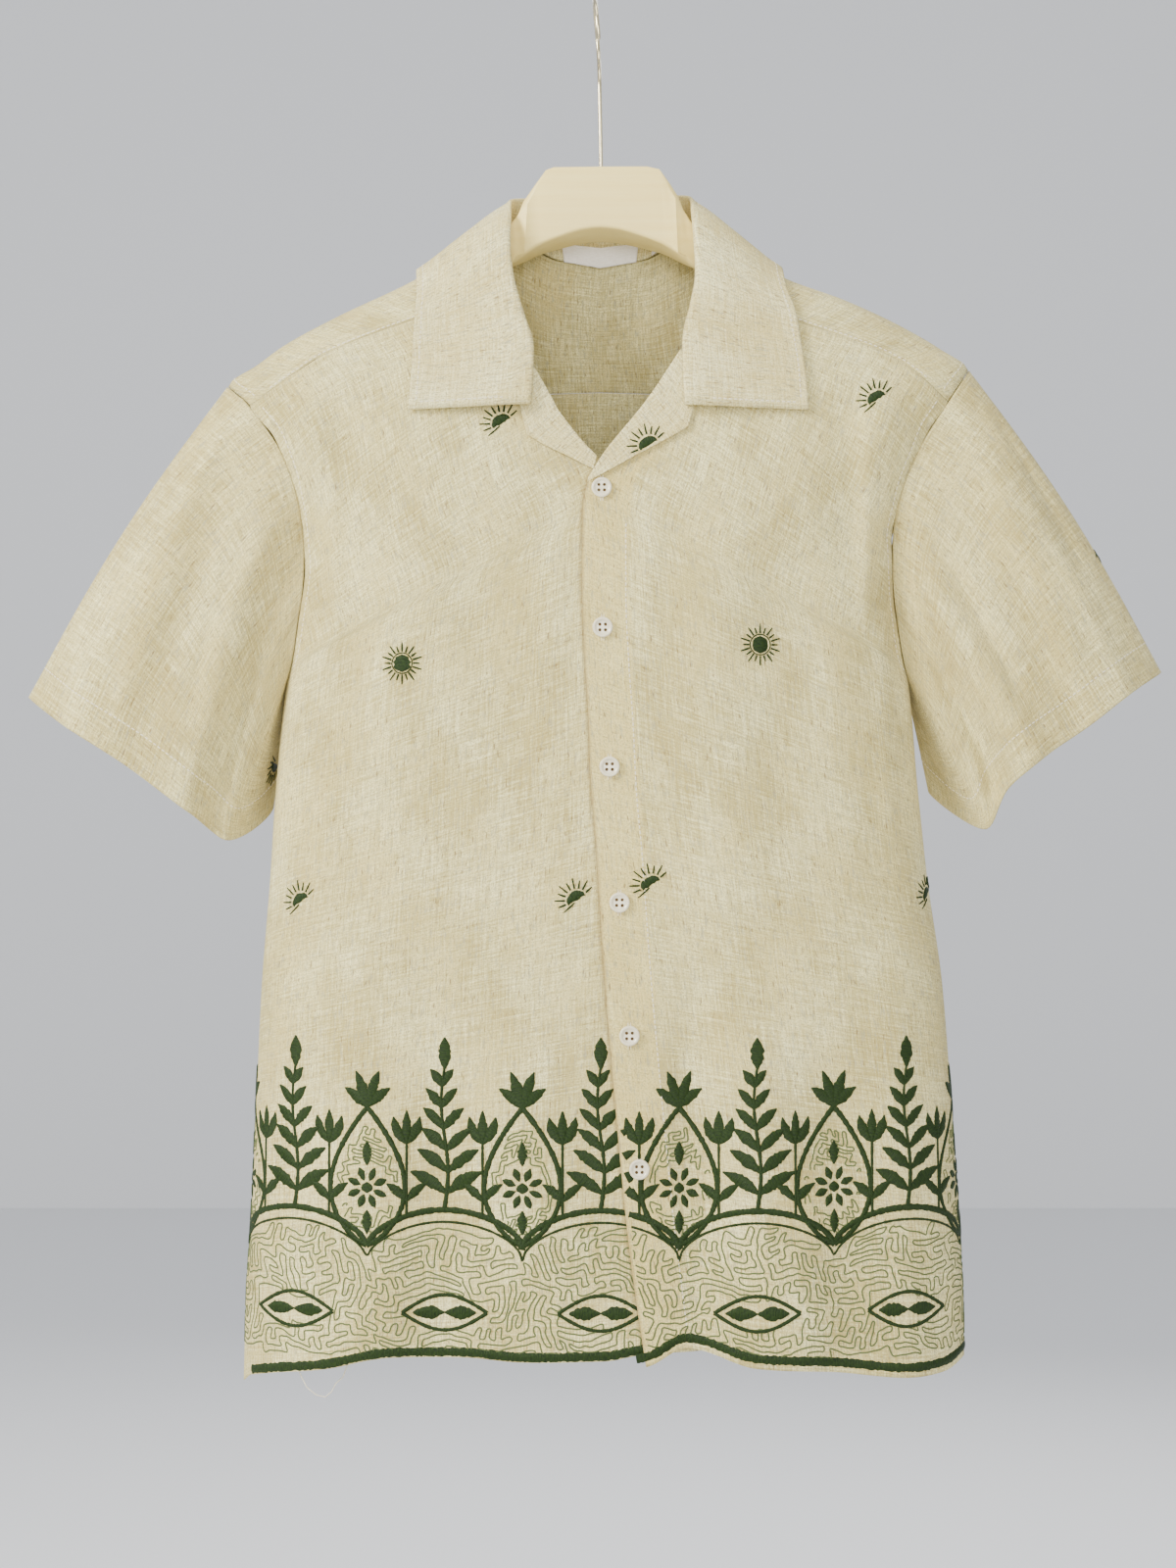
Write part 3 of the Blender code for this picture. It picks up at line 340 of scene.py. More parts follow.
# Finer creases than the solids have, in the same columns as the folds.
CREASES = {
    FRONT: (
        (-205, -262, -192, -330, 5, 3.1), (-183, -280, -170, -420, 6, -2.9),
        (-172, -300, -166, -455, 5, 2.6), (-196, -372, -188, -520, 6, 3.5),
        (-178, -400, -186, -560, 8, -2.7), (198, -262, 190, -350, 5, 2.9),
        (170, -262, 168, -430, 6, 3.5), (188, -330, 190, -470, 6, -4.3), (176, -360, 186, -560, 7, 3.1),
        (-120, -320, -128, -520, 23.4, 2.9), (-70, -330, -62, -600, 28.6, -3.1),
        (70, -330, 84, -600, 26, 3.1), (120, -330, 112, -560, 23.4, -2.9),
        (-206, -600, -212, -870, 8, 2.9), (-132, -700, -140, -900, 15.6, 3.1),
        (-66, -760, -60, -900, 15.6, -2.6), (128, -740, 134, -900, 15.6, 3.1),
        (212, -620, 216, -860, 8, 2.6), (32, -330, 26, -420, 7, 1.3), (-28, -330, -34, -450, 9, 1.6),
    ),
    BACK: (
        (-180, -300, -172, -520, 10, 3.5), (-120, -300, -112, -620, 15.6, -3.9),
        (-56, -330, -48, -700, 18.2, 3.6), (12, -300, 16, -640, 15.6, -3.6),
        (76, -290, 82, -600, 15.6, 3.9), (134, -300, 142, -640, 15.6, -4.2),
        (186, -290, 190, -520, 8, 3.5), (-40, -700, -34, -900, 15.6, -3.1),
        (90, -720, 96, -900, 18.2, 3.1),
    ),
}
SLEEVE_CREASES = {
    LEFT: (
        (0.06, 0.02, 0.1, 0.7, 0.0175, 2.3), (0.13, 0.02, 0.2, 0.9, 0.02, 2.9),
        (0.19, 0.05, 0.3, 0.8, 0.0175, -2.7), (0.27, 0.2, 0.38, 1.1, 0.02, 3.1),
        (0.36, 0.35, 0.42, 1.1, 0.0175, -3.5), (0.4, 0.5, 0.46, 1.1, 0.0175, 4.3),
        (0.62, 0.1, 0.6, 0.9, 0.02, 3.1), (0.75, 0.1, 0.74, 1, 0.02, -2.9),
        (0.86, 0.05, 0.9, 0.8, 0.02, 2.7),
    ),
    RIGHT: (
        (0.06, 0.02, 0.09, 0.7, 0.0175, -2.3), (0.15, 0.05, 0.19, 0.9, 0.02, 2.9),
        (0.23, 0.1, 0.31, 0.8, 0.0175, -3.1), (0.33, 0.2, 0.4, 1.1, 0.0175, 3.5),
        (0.4, 0.45, 0.44, 1.1, 0.015, -3.9), (0.44, 0.6, 0.47, 1.1, 0.015, 4.7),
        (0.62, 0.1, 0.6, 0.9, 0.02, 3.1), (0.75, 0.1, 0.74, 1, 0.02, -2.9),
        (0.88, 0.05, 0.92, 0.8, 0.02, 2.7),
    ),
}


def even_columns():
    """Along a quarter of a section: shares of its length, of its width and of its depth, and its length."""
    angles = np.linspace(0, math.pi / 2, 500)
    wide = np.cos(angles).clip(0) ** (2 / SECTION_POWER)
    deep = np.sin(angles) ** (2 / SECTION_POWER)
    steps = np.hypot(np.diff(wide), SECTION_ASPECT * np.diff(deep))
    along = np.concatenate([[0], np.cumsum(steps)])
    return along / along[-1], wide, deep, float(along[-1])


QUARTER, QUARTER_WIDE, QUARTER_DEEP, QUARTER_LENGTH = even_columns()


def ramp(value, start, end):
    t = np.clip((value - start) / (end - start), 0.0, 1.0)
    return t * t * (3 - 2 * t)


def by_side(tables, column, at, x):
    return np.where(x < 0, read(tables[LEFT], column, at), read(tables[RIGHT], column, at))


def points(*axes):
    return np.stack(np.broadcast_arrays(*axes), axis=-1)


def unit(vectors):
    return vectors / np.maximum(np.linalg.norm(vectors, axis=-1, keepdims=True), 1e-9)


def folds_at(x, height, face):
    total = np.zeros(np.broadcast(x, height).shape)
    for fold_face in (FRONT, BACK):
        here = np.asarray(face) == fold_face
        for fold in (Fold(*row) for row in FOLDS[fold_face] + CREASES[fold_face]):
            share = (fold.top - height) / (fold.top - fold.foot)
            middle = fold.top_x + (fold.foot_x - fold.top_x) * share
            ends = ramp(height, fold.top, fold.top - FOLD_FADE)
            ends = ends * ramp(height, fold.foot, fold.foot + FOLD_FADE)
            total = total + here * fold.rise * ends * np.exp(-(((x - middle) / fold.half_width) ** 2))
    return total


def full_depth(height, face):
    return np.where(np.asarray(face) == FRONT, read(DEPTH, "front", height), read(DEPTH, "back", height))


def on_body(x, height, face):
    ratio = np.minimum(np.abs(x) / by_side(REACH, "reach", height, x), 1.0)
    bow = (1 - ratio**SECTION_POWER) ** (1 / SECTION_POWER)
    return points(x, face * bow * (full_depth(height, face) + folds_at(x, height, face)), height)


def girth_point(girth, height):
    """A point by its place round the section: 0 right side, 1 front, 2 left side, 3 back."""
    girth = np.asarray(girth) % 4
    side = np.where((girth > 1) & (girth <= 3), LEFT, RIGHT)
    face = np.where(girth <= 2, FRONT, BACK)
    share = np.abs(girth - 2 * np.round(girth / 2))
    x = side * by_side(REACH, "reach", height, side) * np.interp(share, QUARTER, QUARTER_WIDE)
    deep = np.interp(share, QUARTER, QUARTER_DEEP)
    return points(x, face * deep * (full_depth(height, face) + folds_at(x, height, face)), height)


def girth_of(x, height, face):
    ratio = np.minimum(np.abs(x) / by_side(REACH, "reach", height, x), 1.0)
    share = np.interp(-ratio, -QUARTER_WIDE, QUARTER)
    if face == FRONT:
        return np.where(x > 0, share, 2 - share)
    return np.where(x < 0, 2 + share, 4 - share)


RIDGE_HEIGHTS = {side: np.linspace(-134, TIP_HEIGHT[side], 700) for side in (LEFT, RIGHT)}
RIDGE_REACH = {side: read(REACH[side], "reach", RIDGE_HEIGHTS[side]) for side in (LEFT, RIGHT)}


def ridge(side, out):
    """Height of the top of the shoulder, out from the middle."""
    return np.interp(out, RIDGE_REACH[side], RIDGE_HEIGHTS[side])


def seam_drop(side, out, across):
    front = read(SHOULDER_SEAM[side], "height", out)
    return ridge(side, out) - np.where(across < 0, front, read(BACK_SEAM, "height", out))


def over_shoulder(side, out, across, shift=0.0):
    """A point over the shoulder: across is -1 at the forward seam, 0 on top and 1 at the yoke's back seam."""
    height = ridge(side, out) - seam_drop(side, out, across) * across**2 + shift
    return on_body(side * out, height, np.where(across < 0, FRONT, BACK))


def across_of(side, out, height, face):
    drop = max(ridge(side, out) - height, 0.0)
    return face * math.sqrt(drop / seam_drop(side, out, face))


def outward(side, out, across):
    """The body's outward direction at a point over the shoulder."""
    along = over_shoulder(side, out + 1.5, across) - over_shoulder(side, out - 1.5, across)
    around = over_shoulder(side, out, across + 0.03) - over_shoulder(side, out, across - 0.03)
    return unit(np.cross(along, around) * side)


def yoke_at_armhole(side, across):
    """(out, height) of the yoke's edge at the armhole."""
    out = read(ARMHOLE[side], "front", TIP_HEIGHT[side])
    for _ in range(40):
        height = ridge(side, out) - seam_drop(side, out, across) * across**2
        front = read(ARMHOLE[side], "front", height)
        out = 0.5 * out + 0.5 * np.where(across < 0, front, read(ARMHOLE[side], "back", height))
    return out, height


def armhole_edge(side, face):
    """(x, height) down the armhole on one face, from the yoke's seam to the underarm."""
    column = "front" if face == FRONT else "back"
    top_out, top = yoke_at_armhole(side, face)
    edge = [(side * float(top_out), float(top))]
    for row in range(1, ARMHOLE_ROWS + 1):
        left = 1 - row / ARMHOLE_ROWS
        height = UNDERARM_HEIGHT + (float(top) - UNDERARM_HEIGHT) * left**1.4
        edge.append((side * float(read(ARMHOLE[side], column, height)), height))
    return edge


def collar_lines(side):
    """The collar's neck line, roll and edge, by the share of its length."""
    rows = []
    for station in (Station(*row) for row in COLLAR[side]):
        neck = across_of(side, station.neck_out, station.neck_height, station.neck_face)
        edge = across_of(side, station.edge_out, station.edge_height, station.edge_face)
        roll = (station.roll_out, station.roll_y, station.roll_z)
        rows.append((station.share, station.neck_out, neck, *roll, station.edge_out, edge))
    return table("share neck_out neck_across roll_out roll_y roll_z edge_out edge_across", *rows)


COLLAR_LINES = {side: collar_lines(side) for side in (LEFT, RIGHT)}


def yoke_half(side, place, t):
    """Half of the yoke: place runs out from its middle, and t from its front or the neck to its back."""
    lines = COLLAR_LINES[side]
    arm_front, arm_back = (yoke_at_armhole(side, np.array(end))[0] for end in (-1.0, 1.0))
    share = np.minimum(place / YOKE_NECK, 1) * NECK_ON_YOKE
    beyond = np.clip((place - YOKE_NECK) / (1 - YOKE_NECK), 0, 1)
    neck_out = read(lines, "neck_out", NECK_ON_YOKE)
    fan_end = read(YOKE_FAN, "out", NECK_ON_YOKE)
    at_neck = place < YOKE_NECK
    start_out = np.where(at_neck, read(lines, "neck_out", share), neck_out + (arm_front - neck_out) * beyond)
    start_across = np.where(at_neck, read(lines, "neck_across", share), -1.0)
    end_out = np.where(at_neck, read(YOKE_FAN, "out", share), fan_end + (arm_back - fan_end) * beyond)
    shift = np.where(at_neck, 0.0, SEAM_SHIFT * (1 - t) ** 8) + SEAM_SHIFT * t**8
    across = start_across + (1 - start_across) * t
    out = start_out + (end_out - start_out) * t
    arm_line = arm_front * (1 - t) + arm_back * t
    out = out + place**6 * (yoke_at_armhole(side, across)[0] - arm_line)
    return over_shoulder(side, out, across, shift)


def yoke_at(u, t):
    """The yoke, from the left armhole to the right one, and from front to back."""
    position = 2 * np.asarray(u) - 1
    halves = [yoke_half(side, np.abs(position), t) for side in (LEFT, RIGHT)]
    return np.where((position < 0)[..., None], *halves)


def side_girth(side, height):
    """Where the side seam runs round the section."""
    wrap = SIDE_WRAP * ramp(height, UNDERARM_HEIGHT, -900)
    return 2 + wrap if side == LEFT else -wrap


def front_edges(side):
    """Rows of a front panel, from the shoulder seam to the hem, by the girth and height of both ends."""
    rows = []
    for index, (x, height) in enumerate(armhole_edge(side, FRONT)):
        inner = NECK_SEAM_END + (INNER_UNDERARM - NECK_SEAM_END) * index / ARMHOLE_ROWS
        rows.append((inner, girth_of(x, height, FRONT), height))
    heights = HEM[side]["height"][0]
    inner_hem, outer_hem = (heights[-1], heights[0]) if side == LEFT else (heights[1], heights[-1])
    for index in range(1, SIDE_ROWS + 1):
        share = index / SIDE_ROWS
        outer = UNDERARM_HEIGHT + (outer_hem - UNDERARM_HEIGHT) * share
        inner = INNER_UNDERARM + (inner_hem - INNER_UNDERARM) * share
        rows.append((inner, side_girth(side, outer), outer))
    edges = []
    for index, (inner, outer_girth, outer) in enumerate(rows):
        inner_x = read(INNER_EDGE[side], "x", inner)
        edges.append((index, float(girth_of(inner_x, inner, FRONT)), inner, float(outer_girth), outer))
    return table("row first first_height second second_height", *edges)


def back_edges():
    rows = []
    for index, (a, b) in enumerate(zip(armhole_edge(LEFT, BACK), armhole_edge(RIGHT, BACK))):
        rows.append((index, float(girth_of(*a, BACK)), a[1], float(girth_of(*b, BACK)), b[1]))
    hem = BACK_HEM["height"][0]
    for index in range(1, SIDE_ROWS + 1):
        share = index / SIDE_ROWS
        left, right = (UNDERARM_HEIGHT + (end - UNDERARM_HEIGHT) * share for end in (hem[0], hem[-1]))
        girths = float(side_girth(LEFT, left)), 4 + float(side_girth(RIGHT, right))
        rows.append((ARMHOLE_ROWS + index, girths[0], left, girths[1], right))
    return table("row first first_height second second_height", *rows)


PANEL_EDGES = {LEFT: front_edges(LEFT), RIGHT: front_edges(RIGHT), "back": back_edges()}
PANEL_LAST = ARMHOLE_ROWS + SIDE_ROWS


def panel_at(edges, seam_height, hem, girth_shift):
    """A panel of the body: u runs between its two side edges, t down from its top seam to its hem."""
    first = {name: edges[name][0][0] for name in edges if name != "keys"}
    last = {name: edges[name][0][-1] for name in edges if name != "keys"}

    def at(u, t):
        u, t = np.broadcast_arrays(np.asarray(u, float), np.asarray(t, float))
        row = t * PANEL_LAST
        ends = {name: read(edges, name, row) for name in first}
        girth = ends["first"] + (ends["second"] - ends["first"]) * u + girth_shift(u)
        base = ends["first_height"] + (ends["second_height"] - ends["first_height"]) * u
        top_share = np.maximum(1 - row / ARMHOLE_ROWS, 0.0) ** 4
        top_line = first["first_height"] + (first["second_height"] - first["first_height"]) * u
        foot_line = last["first_height"] + (last["second_height"] - last["first_height"]) * u
        height = base
        for _ in range(12):
            x = girth_point(girth, height)[..., 0]
            to_seam = top_share * (seam_height(np.abs(x)) - SEAM_SHIFT - top_line)
            to_hem = t**10 * (read(hem, "height", x) - foot_line)
            height = base + np.where(top_share > 0, to_seam, to_hem)
        return girth_point(girth, height)

    return at


def lie_under(side, place):
    """The left front lies a little behind the right one where they lap."""
    if side == LEFT:
        under = OVERLAP_DEPTH * ramp(place[..., 0], OVERLAP_START, OVERLAP_FULL) * (place[..., 1] < 0)
        place = place + points(0 * under, under, 0 * under)
    return place


def front_at(side):
    seam = SHOULDER_SEAM[side]
    plain = panel_at(
        PANEL_EDGES[side],
        lambda out: read(seam, "height", out),
        HEM[side],
        lambda u: side * SIDE_SHIFT * u,
    )
    return lambda u, t: lie_under(side, plain(u, t))


def back_at():
    return panel_at(
        PANEL_EDGES["back"],
        lambda out: read(BACK_SEAM, "height", out),
        BACK_HEM,
        lambda u: SIDE_SHIFT * (1 - 2 * u),
    )


def between(a, b, c, d, t):
    """A smooth curve through four neighbours, read at the share t of the way from the second to the third."""
    return 0.5 * (
        2 * b + (c - a) * t + (2 * a - 5 * b + 4 * c - d) * t**2 + (3 * b - a - 3 * c + d) * t**3
    )


def smooth_through(rows, place, closed=False):
    """A smooth curve through rows of points (rows on axis 0), read at places counted in rows."""
    last = len(rows) - 1
    index = np.floor(place).astype(int) if closed else np.clip(np.floor(place).astype(int), 0, last - 1)
    t = (place - index)[..., None]
    if closed:
        a, b, c, d = (rows[(index + step) % len(rows)] for step in (-1, 0, 1, 2))
    else:
        a, b, c, d = (rows[np.clip(index + step, 0, last)] for step in (-1, 0, 1, 2))
    return between(a, b, c, d, t)


def armhole_ring(side):
    """The sleeve's seam: over the yoke's front edge, down the front, up the back and over to the top."""
    half = YOKE_ROWS // 2
    ring = []
    for step in range(half):
        out, height = yoke_at_armhole(side, np.array(-step / half))
        ring.append((side * out, height, FRONT))
    ring += [(x, height, FRONT) for x, height in armhole_edge(side, FRONT)]
    ring += [(x, height, BACK) for x, height in reversed(armhole_edge(side, BACK)[:-1])]
    for step in range(half - 1, 0, -1):
        out, height = yoke_at_armhole(side, np.array(step / half))
        ring.append((side * out, height, BACK))
    return np.array([on_body(np.array(x), np.array(height), face) for x, height, face in ring])


def sleeve_at(side):
    """The sleeve: share runs round it from the top by the front, and t down to the cuff."""
    ring = armhole_ring(side)

    def at(share, t):
        share, t = np.broadcast_arrays(np.asarray(share, float), np.asarray(t, float))
        share = share % 1.0
        start = smooth_through(ring, share * len(ring), closed=True)
        under = np.sin(math.pi * share) ** 6
        start = start + (SLEEVE_GAP + UNDERARM_GAP * under)[..., None] * np.array([side, 0, -0.35])
        end = points(*[read(CUFF[side], axis, share) for axis in "xyz"])
        place = start + (end - start) * t[..., None]
        round_y = (start[..., 1] + end[..., 1]) * SWELL_ROUND
        around = points(side * SWELL_UP, round_y, SWELL_UP)
        around_unit = unit(around)
        near_edges = SWELL_AT_EDGES + (1 - SWELL_AT_EDGES) * ramp(np.abs(round_y), 0, SWELL_UP)
        swell = SLEEVE_SWELL * np.sin(math.pi * t) * near_edges * (1 - 0.9 * under)
        place = place + around_unit * swell[..., None]
        facing = np.where(share < 0.5, -1, 1)
        for fold in (SleeveFold(*row) for row in SLEEVE_FOLDS[side] + SLEEVE_CREASES[side]):
            along = (t - fold.top_row) / (fold.foot_row - fold.top_row)
            line = fold.top_share + (fold.foot_share - fold.top_share) * along
            ends = ramp(t, fold.top_row, fold.top_row + SLEEVE_FOLD_START)
            ends = ends * ramp(t, fold.foot_row, fold.foot_row - SLEEVE_FOLD_END)
            rise = facing * fold.rise * ends * np.exp(-(((share - line) / fold.half_width) ** 2))
            place = place + points(0 * rise, rise, 0 * rise)
        return place

    return at


def collar_controls(side, share):
    """Crosswise rows of the collar: from the neck seam up the stand, over the roll and down the fall."""
    lines = COLLAR_LINES[side]
    at = {name: read(lines, name, share) for name in lines if name != "keys"}
    roll = points(side * at["roll_out"], at["roll_y"], at["roll_z"])
    base = over_shoulder(side, at["neck_out"], at["neck_across"])
    edge = over_shoulder(side, at["edge_out"], at["edge_across"])
    inward = unit(points(-base[..., 0], NECK_MIDDLE_Y - base[..., 1], 0.0))
    turned = ramp(share, 0.8, 0.9)[..., None]
    inward = unit(inward * (1 - turned) + np.array([-side, 0, 0]) * turned)
    seam = base + inward * (STAND_INSET + STAND_INSET_FRONT * ramp(share, 0.55, 0.78))[..., None]
    fall, stand = unit(edge - roll), unit(seam - roll)
    front = unit(fall - stand)
    free_end = ramp(share, 0.88, 0.95)[..., None]
    under = roll + fall * 1.2 + np.array([0, 1.9, 0])
    seam = seam * (1 - free_end) + under * free_end
    stand_length = np.linalg.norm(seam - roll, axis=-1)
    reach = np.minimum(ROLL_RADIUS, stand_length * 0.45)[..., None]
    inner = roll + unit(seam - roll) * reach - front * ROLL_INSIDE
    outer = roll + fall * ROLL_RADIUS + front * ROLL_OUTSIDE
    rows = [seam, (seam + inner) / 2, inner, roll, outer]
    near_ridge = np.exp(-(((share - RIDGE_SHARE) / RIDGE_SPREAD) ** 2))
    full_lift = COLLAR_LIFT * (1 + (COLLAR_LIFT_AT_RIDGE - 1) * near_ridge)
    fall_steps = COLLAR_COLUMNS - 4
    for step in range(1, fall_steps + 1):
        t = step / fall_steps
        out = at["neck_out"] + (at["edge_out"] - at["neck_out"]) * t
        across = at["neck_across"] + (at["edge_across"] - at["neck_across"]) * t
        lift = outward(side, out, across) * (full_lift * math.sqrt(t))[..., None]
        rows.append(over_shoulder(side, out, across) + lift + (outer - base) * (1 - t) ** 1.5)
    rows = np.stack(rows)
    straight = ramp(share, 0.93, 1.0)
    run = np.where(straight > 0, edge[..., 0] - roll[..., 0], 1.0)
    slope = (edge[..., 2] - roll[..., 2]) / run
    level = roll[..., 2] + slope * (rows[3:, ..., 0] - roll[..., 0])
    rows[3:, ..., 2] += (level - rows[3:, ..., 2]) * straight
    return rows


def collar_at(u, t):
    """The collar: u runs over it from its foot to its edge, t from its left end to its right end."""
    u, t = np.broadcast_arrays(np.asarray(u, float), np.asarray(t, float))
    position = 2 * t - 1
    halves = []
    for side in (LEFT, RIGHT):
        controls = collar_controls(side, np.abs(position))
        place = u * COLLAR_COLUMNS
        index = np.clip(np.floor(place).astype(int), 0, COLLAR_COLUMNS - 1)
        part = (place - index)[..., None]
        picked = []
        for step in (-1, 0, 1, 2):
            rows = np.clip(index + step, 0, COLLAR_COLUMNS)
            picked.append(np.take_along_axis(controls, rows[None, ..., None], axis=0)[0])
        halves.append(between(*picked, part))
    return np.where((position < 0)[..., None], *halves)


def lapel_at(side):
    def at(u, t):
        line = {name: read(LAPEL[side], name, t) for name in LAPEL[side] if name != "keys"}
        across = np.asarray(u) ** 1.5
        x = line["roll_x"] + (line["edge_x"] - line["roll_x"]) * across
        height = line["roll_height"] + (line["edge_height"] - line["roll_height"]) * across
        place = lie_under(side, on_body(x, height, FRONT))
        lift = LAPEL_LIFT * np.minimum(1.0, LAPEL_LIFT_AT_ROLL + LAPEL_LIFT_GROWTH * np.asarray(u))
        return place - points(0 * lift, lift, 0 * lift)

    return at


def label_at(middle, half, side, low, high):
    """A label inside the collar's stand: middle and half are shares of the collar's length."""

    def at(u, t):
        share = middle + (2 * np.asarray(u) - 1) * half
        flip = side * np.where(share >= 0, 1, -1)
        rows = {here: collar_controls(here, np.abs(share)) for here in (LEFT, RIGHT)}
        foot, top = (np.where((flip < 0)[..., None], rows[LEFT][k], rows[RIGHT][k]) for k in (0, 2))
        place = foot + (top - foot) * (low + (high - low) * np.asarray(t))[..., None]
        inward = unit(points(-place[..., 0], NECK_MIDDLE_Y - place[..., 1], 0.0))
        return place + inward * LABEL_LIFT

    return at


def by_girth(side, face):
    """The cloth of a front (or of the back) by the distance along it from its middle line, and the height."""

    def at(along, height):
        along, height = np.broadcast_arrays(np.asarray(along, float), np.asarray(height, float))
        quarters = along / (by_side(REACH, "reach", height, along) * QUARTER_LENGTH)
        girth = 1 - quarters if face == FRONT else 3 + quarters
        return lie_under(side, girth_point(girth, height))

    return at


def along_of(x, height):
    """The distance along a front, from its middle line, of a point given by x."""
    girth = girth_of(np.asarray(x, float), height, FRONT)
    return (1 - girth) * by_side(REACH, "reach", height, x) * QUARTER_LENGTH


# Meshes: grids laid on those surfaces, and ribbons of thread laid along lines on them.


def mesh_of(name, shape):
    """The mesh of a finished bmesh, which is freed."""
    mesh = bpy.data.meshes.new(name)
    shape.to_mesh(mesh)
    shape.free()
    return mesh


def flat_grid(columns, rows):
    """A grid of faces, with the column and the row of each of its vertices."""
    shape = bmesh.new()
    bmesh.ops.create_grid(shape, x_segments=columns, y_segments=rows, size=0.5)
    shape.verts.index_update()
    column = np.array([round((v.co.x + 0.5) * columns) for v in shape.verts])
    row = np.array([round((v.co.y + 0.5) * rows) for v in shape.verts])
    return shape, column, row


def lay_out(shape, places, map_name, map_u, map_t):
    """Moves a grid's vertices to their places, and gives each its place on a UV map."""
    for vertex, place in zip(shape.verts, places):
        vertex.co = place
    layer = shape.loops.layers.uv.new(map_name)
    for face in shape.faces:
        face.smooth = True
        for corner in face.loops:
            corner[layer].uv = map_u[corner.vert.index], map_t[corner.vert.index]


def lengths_along(places):
    """The distance from the start of a line to each of its places."""
    return np.concatenate([[0], np.cumsum(np.linalg.norm(np.diff(places, axis=0), axis=1))])


def keep_piece(name, mesh, material, slot, replaced=()):
    made = bpy.data.objects.new(name, mesh)
    made.data.materials.append(material)
    bpy.context.scene.collection.objects.link(made)
    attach(made, "root")
    if replaced:
        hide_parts(*replaced)
    return made


def even_share(count, crowd=0.0):
    """Shares from 0 to 1, closer together towards both ends as crowd grows to 1."""
    share = np.linspace(0, 1, count + 1)
    return share * (1 - crowd) + crowd * (1 - np.cos(math.pi * share)) / 2


def cloth(
    name, at, columns, rows, material, slot,
    wall=LINEN_WALL, closed=False, replaced=(), crowd=0.35, marks=None,
):
    """A cloth piece: a grid on a surface, with a UV map in metres, and the wall of the cloth."""
    shape, column, row = flat_grid(columns, rows)
    across, along = even_share(columns, 0.0 if closed else crowd), even_share(rows, crowd)
    grid_u, grid_t = np.meshgrid(across, along, indexing="ij")
    grid = at(grid_u, grid_t) * MM
    over = np.linalg.norm(np.diff(grid, axis=0), axis=-1)
    down = np.linalg.norm(np.diff(grid, axis=1), axis=-1)
    map_u = np.concatenate([np.zeros((1, rows + 1)), np.cumsum(over, axis=0)])
    map_u -= map_u[-1] / 2
    map_t = np.concatenate([np.zeros((columns + 1, 1)), np.cumsum(down, axis=1)], axis=1)
    map_t = np.broadcast_to(map_t.mean(axis=0), map_t.shape)
    lay_out(shape, grid[column, row], "cloth", map_u[column, row], map_t[column, row])
    if closed:
        bmesh.ops.remove_doubles(shape, verts=shape.verts[:], dist=1e-6)
    bmesh.ops.recalc_face_normals(shape, faces=shape.faces[:])
    mesh = mesh_of(name, shape)
    for attribute, values in (marks or {}).items():
        made = values(grid / MM)
        mesh.attributes.new(attribute, "FLOAT", "POINT").data.foreach_set("value", made[column, row])
    made = keep_piece(name, mesh, material, slot, replaced)
    solid = made.modifiers.new("wall", "SOLIDIFY")
    solid.thickness = wall * MM
    solid.offset = 0.0
    return made


def normals_at(at, u, t, outside):
    """Outward directions of a surface at (u, t): outside is 1 or -1, for the way its grid turns."""
    step = 1e-3 if np.max(np.abs(t)) <= 1.5 else 0.5
    along_u = at(u + step, t) - at(u - step, t)
    along_t = at(u, t + step) - at(u, t - step)
    return unit(np.cross(along_u, along_t)) * outside


Ribbon = namedtuple("Ribbon", "places normals half_widths")
ROUNDEST_THREAD = 1.2  # the most that a ribbon rises, as a share of its half width


def on_surface(at, outside, u, t, half_widths, lift):
    """A ribbon along the line (u, t) of a surface, lifted off it."""
    u, t = np.asarray(u, float), np.asarray(t, float)
    normals = normals_at(at, u, t, outside)
    return Ribbon(at(u, t) + normals * lift, normals, np.broadcast_to(half_widths, u.shape))


def ribbons(name, strands, rise, across, material, slot):
    """Many ribbons of thread as one mesh: raised along their middle, with their edges down on the cloth."""
    counts = [len(strand.places) for strand in strands]
    places, normals, half_widths = (np.concatenate(column) for column in zip(*strands))
    ways = np.concatenate([np.gradient(strand.places, axis=0) for strand in strands])
    lengths = np.concatenate([lengths_along(strand.places) for strand in strands])
    shape, column, row = flat_grid(across, sum(counts) - 1)
    place_across = 2 * column / across - 1
    aside = unit(np.cross(ways, normals))[row] * (place_across * half_widths[row])[:, None]
    raised = (1 - place_across**2) * np.minimum(rise, half_widths[row] * ROUNDEST_THREAD)
    coordinates = places[row] + aside + normals[row] * raised[:, None]
    joins = set(np.cumsum(counts)[:-1] - 1)
    between_strands = [f for f in shape.faces if min(row[v.index] for v in f.verts) in joins]
    map_u, map_t = place_across * half_widths[row] * MM, lengths[row] * MM
    lay_out(shape, coordinates * MM, "thread", map_u, map_t)
    bmesh.ops.delete(shape, geom=between_strands, context="FACES")
    return keep_piece(name, mesh_of(name, shape), material, slot)


def along_line(places, *columns, spacing=None, ends=None):
    """Reads places and other columns at even distances along a line."""
    lengths = lengths_along(places)
    at = ends if ends is not None else np.linspace(0, lengths[-1], max(int(lengths[-1] / spacing), 2) + 1)
    out = []
    for values in (places, *columns):
        values = np.asarray(values, float)
        flat = values.reshape(len(values), -1)
        found = np.stack([np.interp(at, lengths, flat[:, k]) for k in range(flat.shape[1])], axis=1)
        out.append(found.reshape(-1, *values.shape[1:]))
    return lengths[-1], out


